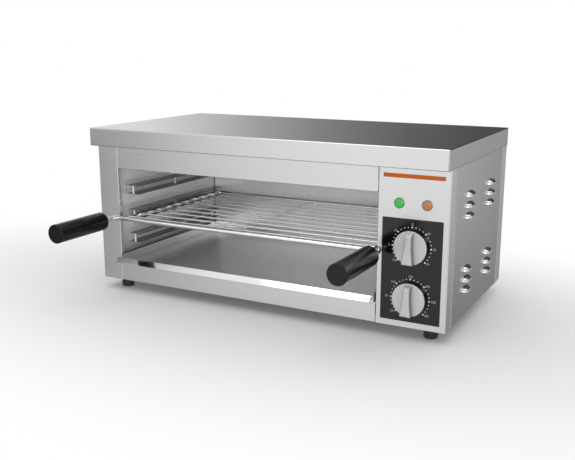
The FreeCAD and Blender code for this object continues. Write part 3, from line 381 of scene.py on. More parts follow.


# Paints shade on a knob's bar: multiplies the base colour by a level where the knob stands proud of its disc
# and faces -X or +X.
def paintFlankShade(made, face, level):
    tree = made.node_tree
    socket = tree.nodes["Principled BSDF"].inputs["Base Color"]
    plain = socket.links[0].from_socket
    share = span(tree, coordinate(tree, "Normal", "X"), -1.0, 1.0)
    shade = ramp(tree, share, ((0.2, level), (0.36, 1.0), (0.64, 1.0), (0.8, level)))
    proud = maths(tree, "LESS_THAN", coordinate(tree, "Object", "Y"), placeInFrame("Y", face - 0.1))
    tree.links.new(mix(tree, proud, plain, mix(tree, 1.0, plain, shade, "MULTIPLY")), socket)


steelFront = grained("brushedFront", 1.0, (6, 600, 1500), (223, 229), (0.2, 0.25), 0.012)
zone(steelFront, "X", 303.2, 303.6, 246)  # the returned edge is painted brighter, a painted sheen
steelSide = grained("brushedSide", 1.0, (600, 6, 1500), (219, 225), (0.11, 0.15), 0.006)
steelLid = grained("brushedLid", 1.0, (5, 1400, 1400), (223, 229), (0.18, 0.22), 0.01)
paintShadeAlong(steelLid, "Z", (229.0, 0.45), (230.1, 0.5), (230.7, 1), (240.0, 1))  # painted shade along the hem
# The lid's right side is painted darker, a painted shade.
paintShadeAlong(steelLid, "X", (-305.0, 1), (303.9, 1), (304.6, 0.8), (306.0, 0.8))
# The side walls and the rear wall share one steel; each copy carries its own painted shade.
linerSteel = grained("linerSteel", 0.35, 900, (244, 249), (0.26, 0.3))
paintShadeAlong(linerSteel, "Z", (20.0, 0.6), (40.0, 0.6), (40.5, 0.03), (41.9, 0.03), (42.5, 0.6), (48.0, 0.6),
           (85.0, 1), (220.0, 1))  # painted shade towards the bottom, with a painted dark line beside the tray for the shade in the crevice
linerRear = grained("linerRear", 0.35, 900, (244, 249), (0.26, 0.3))
zone(linerRear, "X", -269.8, -270.6, (50, 49, 48))  # painted shade down the left corner
innerSheet = grained("zincSheet", 1.0, 45, ((150, 153, 158), (184, 186, 188)), (0.4, 0.55), 0.05)
railSteel = grained("railSteel", 0.2, (900, 5, 900), (244, 249), (0.22, 0.3))
zone(railSteel, "X", 242.0, 241.0, 104, about=-28.0)  # the flanges are painted darker than the web, a painted shade
zone(railSteel, "Y", 29.5, 29.1, 150)  # the cut ends
zone(railSteel, "Y", 291.5, 291.9, 150)
wireSteel = grained("polishedRod", 1.0, 60, ((234, 234, 235), (246, 246, 246)), (0.14, 0.2), 0.005)
pinSteel = grained("pinSteel", 0.2, 300, (247, 253), (0.26, 0.34))
traySteel = grained("trayBright", 0.85, 700, (248, 252), (0.24, 0.28))
# The tray's left part is painted darker, a painted shade.
paintShadeAlong(traySteel, "X", (-262.0, 0.62), (-225.0, 0.8), (-165.0, 1), (200.0, 1))
zone(traySteel, "Z", 30.6, 33.0, 215)  # the walls are painted darker, a painted shade
lipPolish = grained("lipPolish", 1.0, (8, 700, 700), (229, 235), (0.06, 0.09), 0.004)
gripBlack = grained("gripBlack", 0.0, 1200, ((8, 8, 9), (12, 12, 13)), (0.21, 0.25),
                    **{"Specular IOR Level": 0.4})
footRubber = grained("footRubber", 0.0, 300, (11, 18), (0.42, 0.58), 0.1)
scaleBlack = grained("scaleBlack", 0.0, 900, (9, 12), (0.1, 0.14))
markWhite = grained("markWhite", 0.0, 400, ((235, 235, 233), (245, 245, 244)), (0.45, 0.55))
markGrey = grained("markGrey", 0.0, 400, ((158, 158, 156), (172, 172, 170)), (0.45, 0.55))
accentCopper = grained("accentCopper", 0.0, (40, 900, 900), ((184, 88, 18), (192, 96, 26)), (0.46, 0.54),
                       0.01, **{"Specular IOR Level": 0.2})
knobFace = -9.0
knobSilver = grained("knobSilver", 0.25, 1500, ((183, 186, 185), (189, 192, 191)), (0.3, 0.34), 0.004,
                     **{"Coat Weight": 0.6, "Coat Roughness": 0.12})
paintShadeAlong(knobSilver, "Y", (-12.0, 1), (-7.9, 1), (-7.5, 0.03), (-1.0, 0.03))  # the disc's wall is painted black, a painted shade
# The bar's flanks get painted shade.
paintFlankShade(knobSilver, knobFace, (0.3, 0.3, 0.34))
lensGreen = grained("lensGreen", 0.0, 500, ((44, 166, 62), (62, 180, 76)), (0.3, 0.36))
lensAmber = grained("lensAmber", 0.0, 500, ((162, 106, 64), (176, 120, 78)), (0.3, 0.36))
lampRim = grained("lampRim", 0.2, 500, ((120, 120, 116), (138, 138, 134)), (0.34, 0.44))
elementSheath = grained("elementSheath", 0.8, (60, 200, 200), ((74, 70, 66), (116, 110, 104)), (0.4, 0.6),
                        0.1)
ceramicWhite = grained("ceramicWhite", 0.0, 200, ((216, 212, 202), (232, 228, 220)), (0.34, 0.46), 0.05)
mouldedDark = grained("mouldedDark", 0.0, 700, ((38, 38, 40), (52, 52, 54)), (0.44, 0.56), 0.1)
screwZinc = grained("screwZinc", 1.0, 300, ((172, 172, 175), (204, 204, 206)), (0.24, 0.36), 0.03)
copperTube = grained("copperTube", 1.0, 120, ((176, 108, 76), (208, 140, 104)), (0.28, 0.42), 0.03)
print("finishes made:", len(bpy.data.materials))


# Camera and light

cameraPlace = {"spot": (606.8, -1035.9, 392.9), "ahead": (-0.4577, 0.8600, -0.2258), "lens": 50.28,
               "sensor": 36.0, "clip": (0.05, 60.0)}


# Looks along ahead with the world's Z upright in the picture.
def makeCamera():
    ahead = Vector(cameraPlace["ahead"]).normalized()
    right = ahead.cross(Vector((0, 0, 1))).normalized()
    turn = Matrix((right, right.cross(ahead), -ahead)).transposed()
    camera = bpy.data.objects.new("camera", bpy.data.cameras.new("camera"))
    camera.data.lens = cameraPlace["lens"]
    camera.data.sensor_width = cameraPlace["sensor"]
    camera.data.clip_start, camera.data.clip_end = cameraPlace["clip"]
    camera.matrix_world = Matrix.Translation(Vector(toFrame(cameraPlace["spot"]).tolist())) @ turn.to_4x4()
    bpy.context.scene.collection.objects.link(camera)
    bpy.context.scene.camera = camera


makeCamera()
bpy.context.scene.view_settings.view_transform = "Standard"


# A rectangular lamp at a spot, turned to its aim; these places are in metres in the row frame
def softBox(name, spot, aim, size, power):
    lamp = bpy.data.lights.new(name, "AREA")
    lamp.shape = "RECTANGLE"
    lamp.size, lamp.size_y = size
    lamp.energy = power
    made = bpy.data.objects.new(name, lamp)
    made.location = spot
    made.rotation_euler = (Vector(aim) - Vector(spot)).to_track_quat("-Z", "Y").to_euler()
    bpy.context.scene.collection.objects.link(made)


softBox("topBox", (0.0, -0.7, 2.4), (0, 0, 0.1), (2.6, 2.2), 22)
softBox("frontBox", (1.0, -2.4, 0.55), (0, 0.1, 0.13), (1.0, 0.5), 18)

# Levels of the soft studio round the object, each at degrees round from +Y towards -X: under and low are
# what upright sheets mirror to a viewer above them, high is what level sheets mirror.
studio = {
    "under": ((0, 0.3), (60, 0.6), (100, 0.4), (132, 0.24), (141, 0.42), (147, 0.58), (160, 0.71),
              (175, 0.66), (240, 0.7), (300, 0.4), (335, 0.22), (350, 0.2), (360, 0.3)),
    "low": ((0, 0.4), (60, 0.8), (100, 0.5), (132, 0.25), (139, 0.28), (143, 0.57), (147, 0.83), (151, 0.93),
            (157, 1.0), (166, 1.0), (173, 0.68), (183, 0.5), (205, 0.48), (240, 0.8), (300, 0.55),
            (335, 0.45), (343, 0.53), (345, 0.4), (348, 0.27), (360, 0.4)),
    "high": ((0, 0.06), (14, 0.06), (20, 0.12), (25, 0.21), (30, 0.37), (38, 0.78), (60, 1.0), (100, 0.4),
             (116, 0.16), (122, 0.17), (125.8, 0.8), (129, 1.0), (155, 1.0), (165, 1.0), (173, 0.66),
             (183, 0.5), (205, 0.5), (240, 0.9), (300, 0.8), (322, 0.45), (334, 0.1), (350, 0.06),
             (360, 0.06)),
    "overhead": 0.9, "even": 0.72, "ground": 0.2,
    "lowFrom": (-0.38, -0.14), "highFrom": (-0.04, 0.04), "overheadFrom": (0.8, 0.97),
    "groundTo": (-0.85, -0.55),
}


# The world's level: rings by the angle atan2(-x, y), joined by soft steps of the height z of the ray. Only
# glossy rays meet them; other rays meet one even level, and what the camera sees is white.
def makeStudio():
    world = bpy.data.worlds.new("studio")
    bpy.context.scene.world = world
    world.use_nodes = True
    tree = world.node_tree
    x, y, up = [coordinate(tree, "Generated", axis) for axis in "XYZ"]

    def mixed(share, first, second):
        rest = maths(tree, "MULTIPLY", maths(tree, "SUBTRACT", 1.0, share), first)
        return maths(tree, "ADD", rest, maths(tree, "MULTIPLY", share, second))

    around = maths(tree, "ARCTAN2", maths(tree, "MULTIPLY", x, -1.0), y)
    share = maths(tree, "DIVIDE", maths(tree, "WRAP", around, 2 * math.pi, 0.0), 2 * math.pi)
    under, low, high = [
        ramp(tree, share, [(angle / 360, level) for angle, level in studio[name]])
        for name in ("under", "low", "high")
    ]
    level = mixed(span(tree, up, *studio["lowFrom"], soft=True), under, low)
    level = mixed(span(tree, up, *studio["highFrom"], soft=True), level, high)
    level = mixed(span(tree, up, *studio["overheadFrom"], soft=True), level, studio["overhead"])
    level = mixed(span(tree, up, *studio["groundTo"], soft=True), studio["ground"], level)
    rays = tree.nodes.new("ShaderNodeLightPath").outputs
    level = mixed(rays["Is Glossy Ray"], studio["even"], level)
    level = mixed(maths(tree, "MAXIMUM", rays["Is Camera Ray"], rays["Is Transmission Ray"]), level, 1.0)
    tree.links.new(level, tree.nodes["Background"].inputs["Color"])


makeStudio()

ground = {"half": 8.0, "grey": 221, "rough": 0.7, "squeeze": 0.55, "fade": (0.1, 0.58)}


# A pale floor that turns white with distance, sqrt((squeeze x)^2 + y^2) in metres, and leaves reflections
# to the studio round it
def makeFloor():
    half = ground["half"]
    mesh = bpy.data.meshes.new("floor")
    corners = [(-half, -half, 0), (half, -half, 0), (half, half, 0), (-half, half, 0)]
    mesh.from_pydata(corners, [], [(0, 1, 2, 3)])
    floor = bpy.data.objects.new("floor", mesh)
    bpy.context.scene.collection.objects.link(floor)
    floor.visible_glossy = False
    look = finish("paleFloor", ground["grey"], 0.0, ground["rough"])
    tree = look.node_tree
    nodes, links = tree.nodes, tree.links
    white = nodes.new("ShaderNodeEmission")
    white.inputs["Color"].default_value = (1, 1, 1, 1)
    squeeze = nodes.new("ShaderNodeMapping")
    squeeze.inputs["Scale"].default_value = (ground["squeeze"], 1.0, 1.0)
    links.new(nodes.new("ShaderNodeTexCoord").outputs["Object"], squeeze.inputs["Vector"])
    length = nodes.new("ShaderNodeVectorMath")
    length.operation = "LENGTH"
    links.new(squeeze.outputs["Vector"], length.inputs[0])
    blend = nodes.new("ShaderNodeMixShader")
    links.new(span(tree, length.outputs["Value"], *ground["fade"], soft=True), blend.inputs["Fac"])
    links.new(nodes["Principled BSDF"].outputs["BSDF"], blend.inputs[1])
    links.new(white.outputs["Emission"], blend.inputs[2])
    links.new(blend.outputs["Shader"], nodes["Material Output"].inputs["Surface"])
    mesh.materials.append(look)


makeFloor()
print("camera, light and floor set")


# Lid

lid = {"half": 305.0, "front": -18.3, "back": 307.5, "low": 229.4, "top": 258.6, "gauge": 0.8, "bend": 1.6,
       "corner": 2.2, "hem": 0.25, "shelfBack": -0.3, "shelfEdge": 0.2}


# Rounded rectangles up the skirt, round the bend by a quarter arc and over the top, with the inner shell
# below and a shelf under the overhang.
def makeLid():
    phi = np.linspace(0, math.pi / 2, 6)
    half, bend, gauge, low, top, hem = [lid[k] for k in ("half", "bend", "gauge", "low", "top", "hem")]
    outline = np.vstack([
        [(gauge, top - gauge), (gauge, low + hem), (gauge - hem, low), (hem, low), (0, low + hem)],
        np.column_stack([bend * (1 - np.cos(phi)), top - bend * (1 - np.sin(phi))]),
    ])
    shell = ringed((-half, half), (lid["front"], lid["back"]), outline, lid["corner"])
    shelf = slab((-half + gauge, half - gauge), (lid["front"] + gauge, lid["shelfBack"]), (low, low + gauge),
                 lid["shelfEdge"], "z")
    return merge(shell, shelf)


piece("lid", makeLid(), steelLid, replaces=["top_cover"])


# Casing sheets

case = {"half": 303.9, "back": 306.4, "gauge": 0.8, "low": -0.8, "high": 257.5, "openLeft": -264.0,
        "openRight": 198.9, "control": 199.5, "bend": 1.5, "innerBend": 0.7, "edge": 0.2,
        "leftReturn": -288.9, "leftLip": 7.0, "hood": 191.0, "sill": 28.0, "hem": 14.0,
        "controlReturn": 24.0, "controlLip": 10.0}


# The section with fine rounding on its free edges and the bend radii that bends names by corner, carried up
def makeUpright(section, bends):
    radii = [bends.get(i, case["edge"]) for i in range(len(section))]
    return fold(section, "xy", case["low"], case["high"], radii)


def makeLeftPanel():
    g, half, back, left, lip = [case[k] for k in ("gauge", "half", "back", "openLeft", "leftLip")]
    rear, bend, inner = case["leftReturn"], case["bend"], case["innerBend"]
    section = [
        (left, 0), (-half, 0), (-half, back), (rear, back), (rear, back - g), (-half + g, back - g),
        (-half + g, g), (left - g, g), (left - g, lip), (left, lip),
    ]
    return makeUpright(section, {0: bend, 1: bend, 2: bend, 5: inner, 6: inner, 7: inner})


def makeControlFascia():
    g, half, left, deep, lip = [case[k] for k in ("gauge", "half", "control", "controlReturn", "controlLip")]
    section = [
        (left, 0), (half, 0), (half, deep), (half - g, deep),
        (half - g, g), (left + g, g), (left + g, lip), (left, lip),
    ]
    return makeUpright(section, {0: 1.0, 1: case["bend"], 4: 0.5, 5: 0.3})


# A channel that stands open to the back, carried across the opening
def makeCrossSheet(low, high):
    g, hem, edge = case["gauge"], case["hem"], case["edge"]
    section = [
        (0, low), (hem, low), (hem, low + g), (g, low + g),
        (g, high - g), (hem, high - g), (hem, high), (0, high),
    ]
    radii = [1.0, edge, edge, 0.3, 0.3, edge, edge, 1.0]
    return fold(section, "yz", case["openLeft"], case["openRight"], radii)


for name, shape, node in (
    ("leftPanel", makeLeftPanel(), "left_side_panel"),
    ("hoodFascia", makeCrossSheet(case["hood"], case["high"]), "hood_fascia"),
    ("sillFascia", makeCrossSheet(case["low"], case["sill"]), "lower_fascia"),
    ("controlFascia", makeControlFascia(), "control_fascia"),
):
    piece(name, shape, steelFront, replaces=[node])


# Right side cover with its louvres

louvre = {"radius": 7.2, "depth": 6.8, "straight": 13.0, "end": 7.0, "columns": (93.5, 210.2),
          "rows": (37.0, 52.9, 68.8, 148.2, 164.1, 180.0), "cut": (9.5, 5.2)}
cover = {"front": 24.6, "rear": 282.4, "hem": 2.6, "proud": 0.7, "hemTop": 229.0, "hemEdge": 0.35,
         "lapOut": 12.0, "lapIn": 4.0, "lapLow": 12.6}


# A quarter of a round bar with drawn-out ends: radius times sqrt(1 - t^2) past the straight part.
def makeLouvre(y, z):
    reach = louvre["straight"] / 2 + louvre["end"]
    along = np.sin(np.linspace(-math.pi / 2, math.pi / 2, 41))[:, None] * reach
    past = np.clip((np.abs(along) - louvre["straight"] / 2) / louvre["end"], 0, 1)
    angle = np.linspace(0, math.pi / 2, 15)
    x = case["half"] + louvre["depth"] - louvre["radius"]
    skins = []
    for radius in (louvre["radius"], louvre["radius"] - case["gauge"]):
        r = radius * np.sqrt(1 - past ** 2)
        skins.append(np.stack([x + r * np.sin(angle), y + along + 0 * angle, z + r * np.cos(angle)], -1))
    return stitch(np.concatenate([skins[0], skins[1][:, ::-1]], 1), closeV=True)  # out and back inside


# The sheet as a grid with its slots left out, the raised hems, the laps behind its ends, and the hoods.
def makeSideCover():
    g, half, low, high, edge = [case[k] for k in ("gauge", "half", "low", "high", "edge")]
    front, rear, hem, lapOut, lapIn = [cover[k] for k in ("front", "rear", "hem", "lapOut", "lapIn")]
    cutY, cutZ = louvre["cut"]
    ys = sorted([front, rear] + [y + side * cutY for y in louvre["columns"] for side in (-1, 1)])
    zs = sorted([low, high] + [z + side for z in louvre["rows"] for side in (0.0, cutZ)])
    points, faces = stitch(np.stack(np.meshgrid([half], ys, zs, indexing="ij"), -1)[0])
    strips = len(zs) - 1
    slots = {column * strips + row for column in (1, 3) for row in range(1, strips, 2)}
    sheet = [face[::-1] for i, face in enumerate(faces) if i not in slots]
    inside, outside, behind = half - g, half + cover["proud"], half - 2 * g
    edges = [edge, cover["hemEdge"], cover["hemEdge"], edge]
    hems = [
        fold([(inside, a), (outside, a), (outside, b), (inside, b)], "xy", low, cover["hemTop"], edges)
        for a, b in ((front, front + hem), (rear - hem, rear))
    ]
    laps = [
        fold([(behind, a), (inside, a), (inside, b), (behind, b)], "xy", cover["lapLow"], high, edge)
        for a, b in ((front - lapOut, front + lapIn), (rear - lapIn, rear + lapOut))
    ]
    hoods = [makeLouvre(y, z) for y in louvre["columns"] for z in louvre["rows"]]
    return merge(thicken(points, sheet, (g, 0, 0)), *hems, *laps, *hoods)


piece("sideCover", makeSideCover(), steelSide, replaces=["right_side_cover"])
print("casing made")


# Control panel

plate = {"x": (206.9, 295.1), "z": (8.0, 157.3), "front": -1.0, "edge": 0.3}
accent = {"x": (206.6, 295.4), "z": (213.8, 219.6), "front": -0.4, "edge": 0.12}
for name, sheet, look, node, slot in (
    ("scalePlate", plate, scaleBlack, "scale_plate", "scale_black"),
    ("accentStrip", accent, accentCopper, "accent_strip", "accent_copper"),
):
    shape = slab(sheet["x"], (sheet["front"], 0.0), sheet["z"], sheet["edge"])
    piece(name, shape, look, replaces=[node])

dial = {"x": 251.0, "timer": 117.8, "thermostat": 42.7, "marks": 28.4, "above": 4.0,
        "beside": {"timer": 4.7, "thermostat": 6.3}, "start": -135, "step": 45, "smallStep": 11.25,
        "large": 1.05, "small": 0.66, "thick": 0.05, "around": 14, "letter": 3.4,
        "letterThick": 0.05, "letterGap": 0.03}
dialTexts = {"timer": ("Off", "5", "10", "15", "20", "25", "30"),
             "thermostat": ("Off", "50", "100", "150", "200", "250", "300")}


# Flat round marks at angles round a dial: x is ring sin(a) and z is ring cos(a) from its middle.
def discs(angles, z, radius):
    shapes = []
    for a in np.radians(angles):
        spot = (dial["x"] + dial["marks"] * math.sin(a), plate["front"], z + dial["marks"] * math.cos(a))
        shapes.append(turned([(radius, 0), (radius, -dial["thick"])], "y", spot, dial["around"]))
    return merge(*shapes)


# Seven large marks round a dial, with three small ones in each gap
def makeMarks(z):
    large = dial["start"] + dial["step"] * np.arange(7)
    small = [a + dial["smallStep"] * k for a in large[:-1] for k in (1, 2, 3)]
    return merge(discs(large, z, dial["large"]), discs(small, z, dial["small"]))


# A dial number as a thin mesh that faces forward
def lettering(name, text, x, z):
    curve = bpy.data.curves.new(name, "FONT")
    curve.body = text
    curve.size = dial["letter"] * 1.4 * metre  # a capital is 1 / 1.4 of the font's size
    curve.align_x, curve.align_y = "CENTER", "CENTER"
    curve.extrude = dial["letterThick"] / 2 * metre
    curve.resolution_u = 3
    drawn = bpy.data.objects.new(name, curve)
    bpy.context.scene.collection.objects.link(drawn)
    bpy.context.view_layer.update()
    mesh = bpy.data.meshes.new_from_object(drawn.evaluated_get(bpy.context.evaluated_depsgraph_get()))
    bpy.data.objects.remove(drawn)
    points = np.zeros(len(mesh.vertices) * 3)
    mesh.vertices.foreach_get("co", points)
    points = points.reshape(-1, 3) / metre
    faces = [tuple(p.vertices) for p in mesh.polygons]
    bpy.data.meshes.remove(mesh)
    front = plate["front"] - dial["letterGap"]
    return np.column_stack([x + points[:, 0], front - points[:, 2], z + points[:, 1]]), faces


# Each number stands outside its mark: beside it by the root of the sine, above it by the cosine cubed.
def makeNumbers(control):
    shapes = []
    for i, text in enumerate(dialTexts[control]):
        a = math.radians(dial["start"] + dial["step"] * i)
        aside = math.copysign(math.sqrt(abs(math.sin(a))), a)
        x = dial["x"] + dial["marks"] * math.sin(a) + dial["beside"][control] * aside
        z = dial[control] + dial["marks"] * math.cos(a) + dial["above"] * math.cos(a) ** 3
        shapes.append(lettering(control + "Number", text, x, z))
    return merge(*shapes)


for control in dialTexts:
    piece(control + "Numbers", makeNumbers(control), markGrey)
    piece(control + "Marks", makeMarks(dial[control]), markWhite)

knob = {"radius": 24.2, "back": -1.5, "face": knobFace, "front": -18.4, "top": 4.5, "waist": 5.6,
        "bottom": 8.4, "bevel": 3.4, "rest": 2.0, "round": 1.0, "soft": 1.2, "bore": 3.4, "chamfer": 0.4,
        "ledge": 12.0, "hollow": 0.3, "sunk": 0.05, "topReach": 1.02, "footReach": 0.8, "footLift": 0.15,
        "footDrop": 0.08, "lift": 0.02, "centre": 2.0, "around": 96}


# A lathed disc, and a bar across it. The bar's half width goes over bottom, waist and top, less hollow
# times a cosine. Its edge is a quarter arc, its lower end follows the rim, and its upper end slopes over
# the bevel.
def makeKnob(z):
    r, face, back, edge, chamfer = [knob[k] for k in ("radius", "face", "back", "round", "chamfer")]
    phi = np.linspace(0, math.pi / 2, 5)
    rim = np.column_stack([r - edge * (1 - np.cos(phi)), face + edge * (1 - np.sin(phi))])
    wall = [(knob["bore"], back + knob["lift"]), (r - chamfer, back), (r, back - chamfer)]
    flat = [(knob["ledge"], face), (knob["centre"], face)]
    disc = turned(np.vstack([wall, rim, flat]), "y", (0, 0, 0), knob["around"])
    along = np.linspace(0, 1, 33)[:, None]
    width = np.interp(along, (0, 0.5, 1), (knob["bottom"], knob["waist"], knob["top"]))
    width = width - knob["hollow"] * np.cos((along - 0.5) * math.pi)
    rise, soft = face - knob["front"], knob["soft"]
    bend = np.linspace(0, math.pi / 2, 6)
    inset = np.concatenate([[0.0], soft * (1 - np.cos(bend))])
    high = np.concatenate([[-knob["sunk"]], 1 - soft / rise * (1 - np.sin(bend))])
    x = np.hstack([inset - width, (width - inset)[:, ::-1]])
    limit = r - edge
    low, top = -np.sqrt(limit ** 2 - x ** 2), limit / knob["topReach"]
    up = low + (top - low) * along
    slope = np.clip((top - up) / knob["bevel"], 0, 1)
    foot = np.clip((up - low + knob["footLift"]) / knob["footReach"], 0, 1) ** 0.5
    tall = np.minimum(np.concatenate([high, high[::-1]]), slope)
    tall = np.minimum(tall, 1 - knob["footDrop"] * (1 - foot))
    bar = stitch(np.stack([x, face - rise * tall, up], -1), closeV=True, capStart=True, capEnd=True)
    points, faces = merge(disc, bar)
    a = math.radians(knob["rest"])
    turnBack = np.array([[math.cos(a), 0, math.sin(a)], [0, 1, 0], [-math.sin(a), 0, math.cos(a)]])
    return points @ turnBack.T + np.array([dial["x"], 0, z]), faces


for control in dialTexts:
    piece(control + "Knob", makeKnob(dial[control]), knobSilver, control + "_knob", ["knob_" + control],
          smooth=28)

lamp = {"z": 178.4, "green": 230.85, "amber": 271.15, "radius": 6.85, "seat": -0.02, "wall": -1.0,
        "shoulder": -1.5, "dome": 1.9, "ring": 7.6, "ringInner": 6.9, "ringFront": -1.3, "ringEdge": 0.2,
        "ringBack": -0.1, "ringSlope": 0.2, "bore": 2.0, "tip": 0.05, "around": 48}


# A lathed lens: a low elliptic dome on a short wall
def makeLens(x):
    phi = np.linspace(0, math.pi / 2, 8)
    dome = np.column_stack([lamp["radius"] * np.cos(phi), lamp["shoulder"] - lamp["dome"] * np.sin(phi)])
    dome[-1, 0] = lamp["tip"]
    wall = [(lamp["bore"], lamp["seat"]), (lamp["radius"], lamp["seat"]), (lamp["radius"], lamp["wall"])]
    return turned(np.vstack([wall, dome]), "y", (x, 0, lamp["z"]), lamp["around"])


# A lathed rim: a four-sided section with rounded corners
def makeLampRing(x):
    inner, outer, front = lamp["ringInner"], lamp["ring"], lamp["ringFront"]
    corners = [(inner, lamp["ringBack"]), (outer, 0.0), (outer, front), (inner, front - lamp["ringSlope"])]
    outline = roundCorners(corners, lamp["ringEdge"])
    return turned(np.vstack([outline, outline[:1]]), "y", (x, 0, lamp["z"]), lamp["around"], caps=False)


for colour, look in (("green", lensGreen), ("amber", lensAmber)):
    x, slot = lamp[colour], "lens_" + colour
    piece(colour + "Lens", makeLens(x), look, replaces=["lamp_lens_" + colour])
    piece(colour + "LampRing", makeLampRing(x), lampRim)
print("control panel made")


# Rails, rack, handles and tray

rail = {"left": -272.0, "right": 216.0, "reach": 25.0, "gauge": 1.2, "slot": 13.0, "first": 60.8,
        "pitch": 41.8, "levels": 3, "front": 29.0, "back": 292.0, "bend": 1.4, "inner": 0.4, "edge": 0.35}
pin = {"radius": 1.5, "inset": 14.0, "first": 30.8, "pitch": 120.0, "count": 3, "past": 0.2, "ends": 0.1,
       "around": 14}


# A channel that opens away from its wall, carried from front to back
def makeRail(wall, inward, z):
    g = rail["gauge"]
    free, web, top = wall + inward * rail["reach"], wall + inward * g, z + rail["slot"]
    section = [
        (wall, z - g), (free, z - g), (free, z), (web, z),
        (web, top), (free, top), (free, top + g), (wall, top + g),
    ]
    radii = [rail[k] for k in ("bend", "edge", "edge", "inner", "inner", "edge", "edge", "bend")]
    return fold(section, "xz", rail["front"], rail["back"], radii)


railLevels = rail["first"] + rail["pitch"] * np.arange(rail["levels"])
for side, inward in (("left", 1), ("right", -1)):
    for level, z in enumerate(railLevels, 1):
        piece("channel_%s_%d" % (side, level), makeRail(rail[side], inward, z), railSteel,
              replaces=["rail_%s_%d" % (side, level)])
pins = [
    straight("z", z - pin["past"], z + rail["slot"] + pin["past"], (x, pin["first"] + pin["pitch"] * k),
             pin["radius"], pin["around"], pin["ends"])
    for x in (rail["left"] + pin["inset"], rail["right"] - pin["inset"])
    for z in railLevels
    for k in range(pin["count"])
]
piece("railPins", merge(*pins), pinSteel, replaces=["rail_pins"])

rack = {"z": 106.9, "barZ": 108.8, "radius": 4.0, "left": -250.0, "right": 194.0, "front": -8.5,
        "back": 281.5, "bend": 12.0, "barLeft": -272.55, "barRight": 207.45, "wire": 1.5, "wireZ": 110.3,
        "wires": 10, "first": 5.5, "pitch": 27.5, "spine": 2.0, "spineX": -36.5, "spineZ": 107.1,
        "around": 28, "wireAround": 14, "spineAround": 16, "barEnds": 0.8, "frameEnds": 0.2, "wireEnds": 0.4}


# The front bar, and one rod bent round the other three sides
def makeRackFrame():
    left, right, front, back, z = [rack[k] for k in ("left", "right", "front", "back", "z")]
    corners = [(left, front, z), (left, back, z), (right, back, z), (right, front, z)]
    path = roundCorners(corners, rack["bend"], closed=False, steps=9)
    radius, around, across = rack["radius"], rack["around"], (front, rack["barZ"])
    bar = straight("x", rack["barLeft"], rack["barRight"], across, radius, around, rack["barEnds"])
    return merge(bar, rod(path, radius, around, rack["frameEnds"]))


# The cross wires in even steps over one rod from front to back
def makeRackGrid():
    left, right, front, back, ends = [rack[k] for k in ("left", "right", "front", "back", "wireEnds")]
    spots = [(rack["first"] + rack["pitch"] * i, rack["wireZ"]) for i in range(rack["wires"])]
    wires = [straight("x", left, right, spot, rack["wire"], rack["wireAround"], ends) for spot in spots]
    across = (rack["spineX"], rack["spineZ"])
    return merge(straight("y", front, back, across, rack["spine"], rack["spineAround"], ends), *wires)


piece("rackFrame", makeRackFrame(), wireSteel, "rack", ["rack_frame"], smooth=50)
piece("rackGrid", makeRackGrid(), wireSteel, "rack", ["rack_grid"], smooth=50)

grip = {"left": -269.15, "right": 204.05, "radius": 15.0, "near": -38.6, "far": -146.6, "round": 4.0,
        "rim": 0.8, "bore": 3.4, "boreDeep": 6.0, "centre": 2.0, "around": 72, "stud": 3.2, "studFar": -97.5,
        "studGap": 2.0, "studEnds": 0.4, "studAround": 24}


# A lathed grip: a quarter arc at the near end, a tight one at the far end
def makeGrip(x):
    phi = np.linspace(0, math.pi / 2, 8)
    r, near, far, bore, edge, rim = [grip[k] for k in ("radius", "near", "far", "bore", "round", "rim")]
    nearEnd = np.column_stack([r - edge * (1 - np.sin(phi)), near - edge * (1 - np.cos(phi))])
    farEnd = np.column_stack([r - rim * (1 - np.cos(phi)), far + rim * (1 - np.sin(phi))])
    start = [(bore, near - grip["boreDeep"]), (bore, near)]
    outline = np.vstack([start, nearEnd, farEnd, [(grip["centre"], far)]])
    return turned(outline, "y", (x, 0, rack["barZ"]), grip["around"])


# The straight rod in a grip, which stands out towards the rack
def makeStud(x):
    near = rack["front"] - grip["studGap"]
    across = (x, rack["barZ"])
    return straight("y", grip["studFar"], near, across, grip["stud"], grip["studAround"], grip["studEnds"])


for side in ("left", "right"):
    x = grip[side]
    piece("grip_%s_turned" % side, makeGrip(x), gripBlack, "rack", ["grip_" + side], smooth=40)
    piece("stud_" + side, makeStud(x), wireSteel, "rack", ["handle_rod_" + side], smooth=50)

tray = {"left": -262.5, "right": 197.7, "floor": 29.1, "gauge": 0.8, "front": -4.0, "back": 300.0,
        "wall": 44.5, "crest": 40.0, "lipLeft": -270.0, "lipRight": 194.5, "lipFront": -11.0, "lipLow": 31.5,
        "lipGauge": 1.3, "inset": 1.7, "edge": 0.3, "within": 0.1}


# The pan: one section for floor and front wall, then the side and back walls, which stand just outside it.
def makeTray():
    g, f, low, left, right, within = [tray[k] for k in ("gauge", "front", "floor", "left", "right", "within")]
    crest, back, wall = tray["crest"] - tray["lipGauge"], tray["back"] - within, tray["wall"]
    pan = [(back, low), (f, low), (f, crest), (f + g, crest), (f + g, low + g), (back, low + g)]
    shapes = [fold(pan, "yz", left + within, right - within, [0.2, 1.0, 0.1, 0.1, 0.4, 0.2])]
    for a, b in ((left, left + g), (right - g, right)):
        shapes.append(slab((a, b), (f, back), (low + within / 2, wall - within), tray["edge"], "x"))
    shapes.append(slab((left, right), (tray["back"] - g, tray["back"]), (low, wall), tray["edge"], "y"))
    return merge(*shapes)


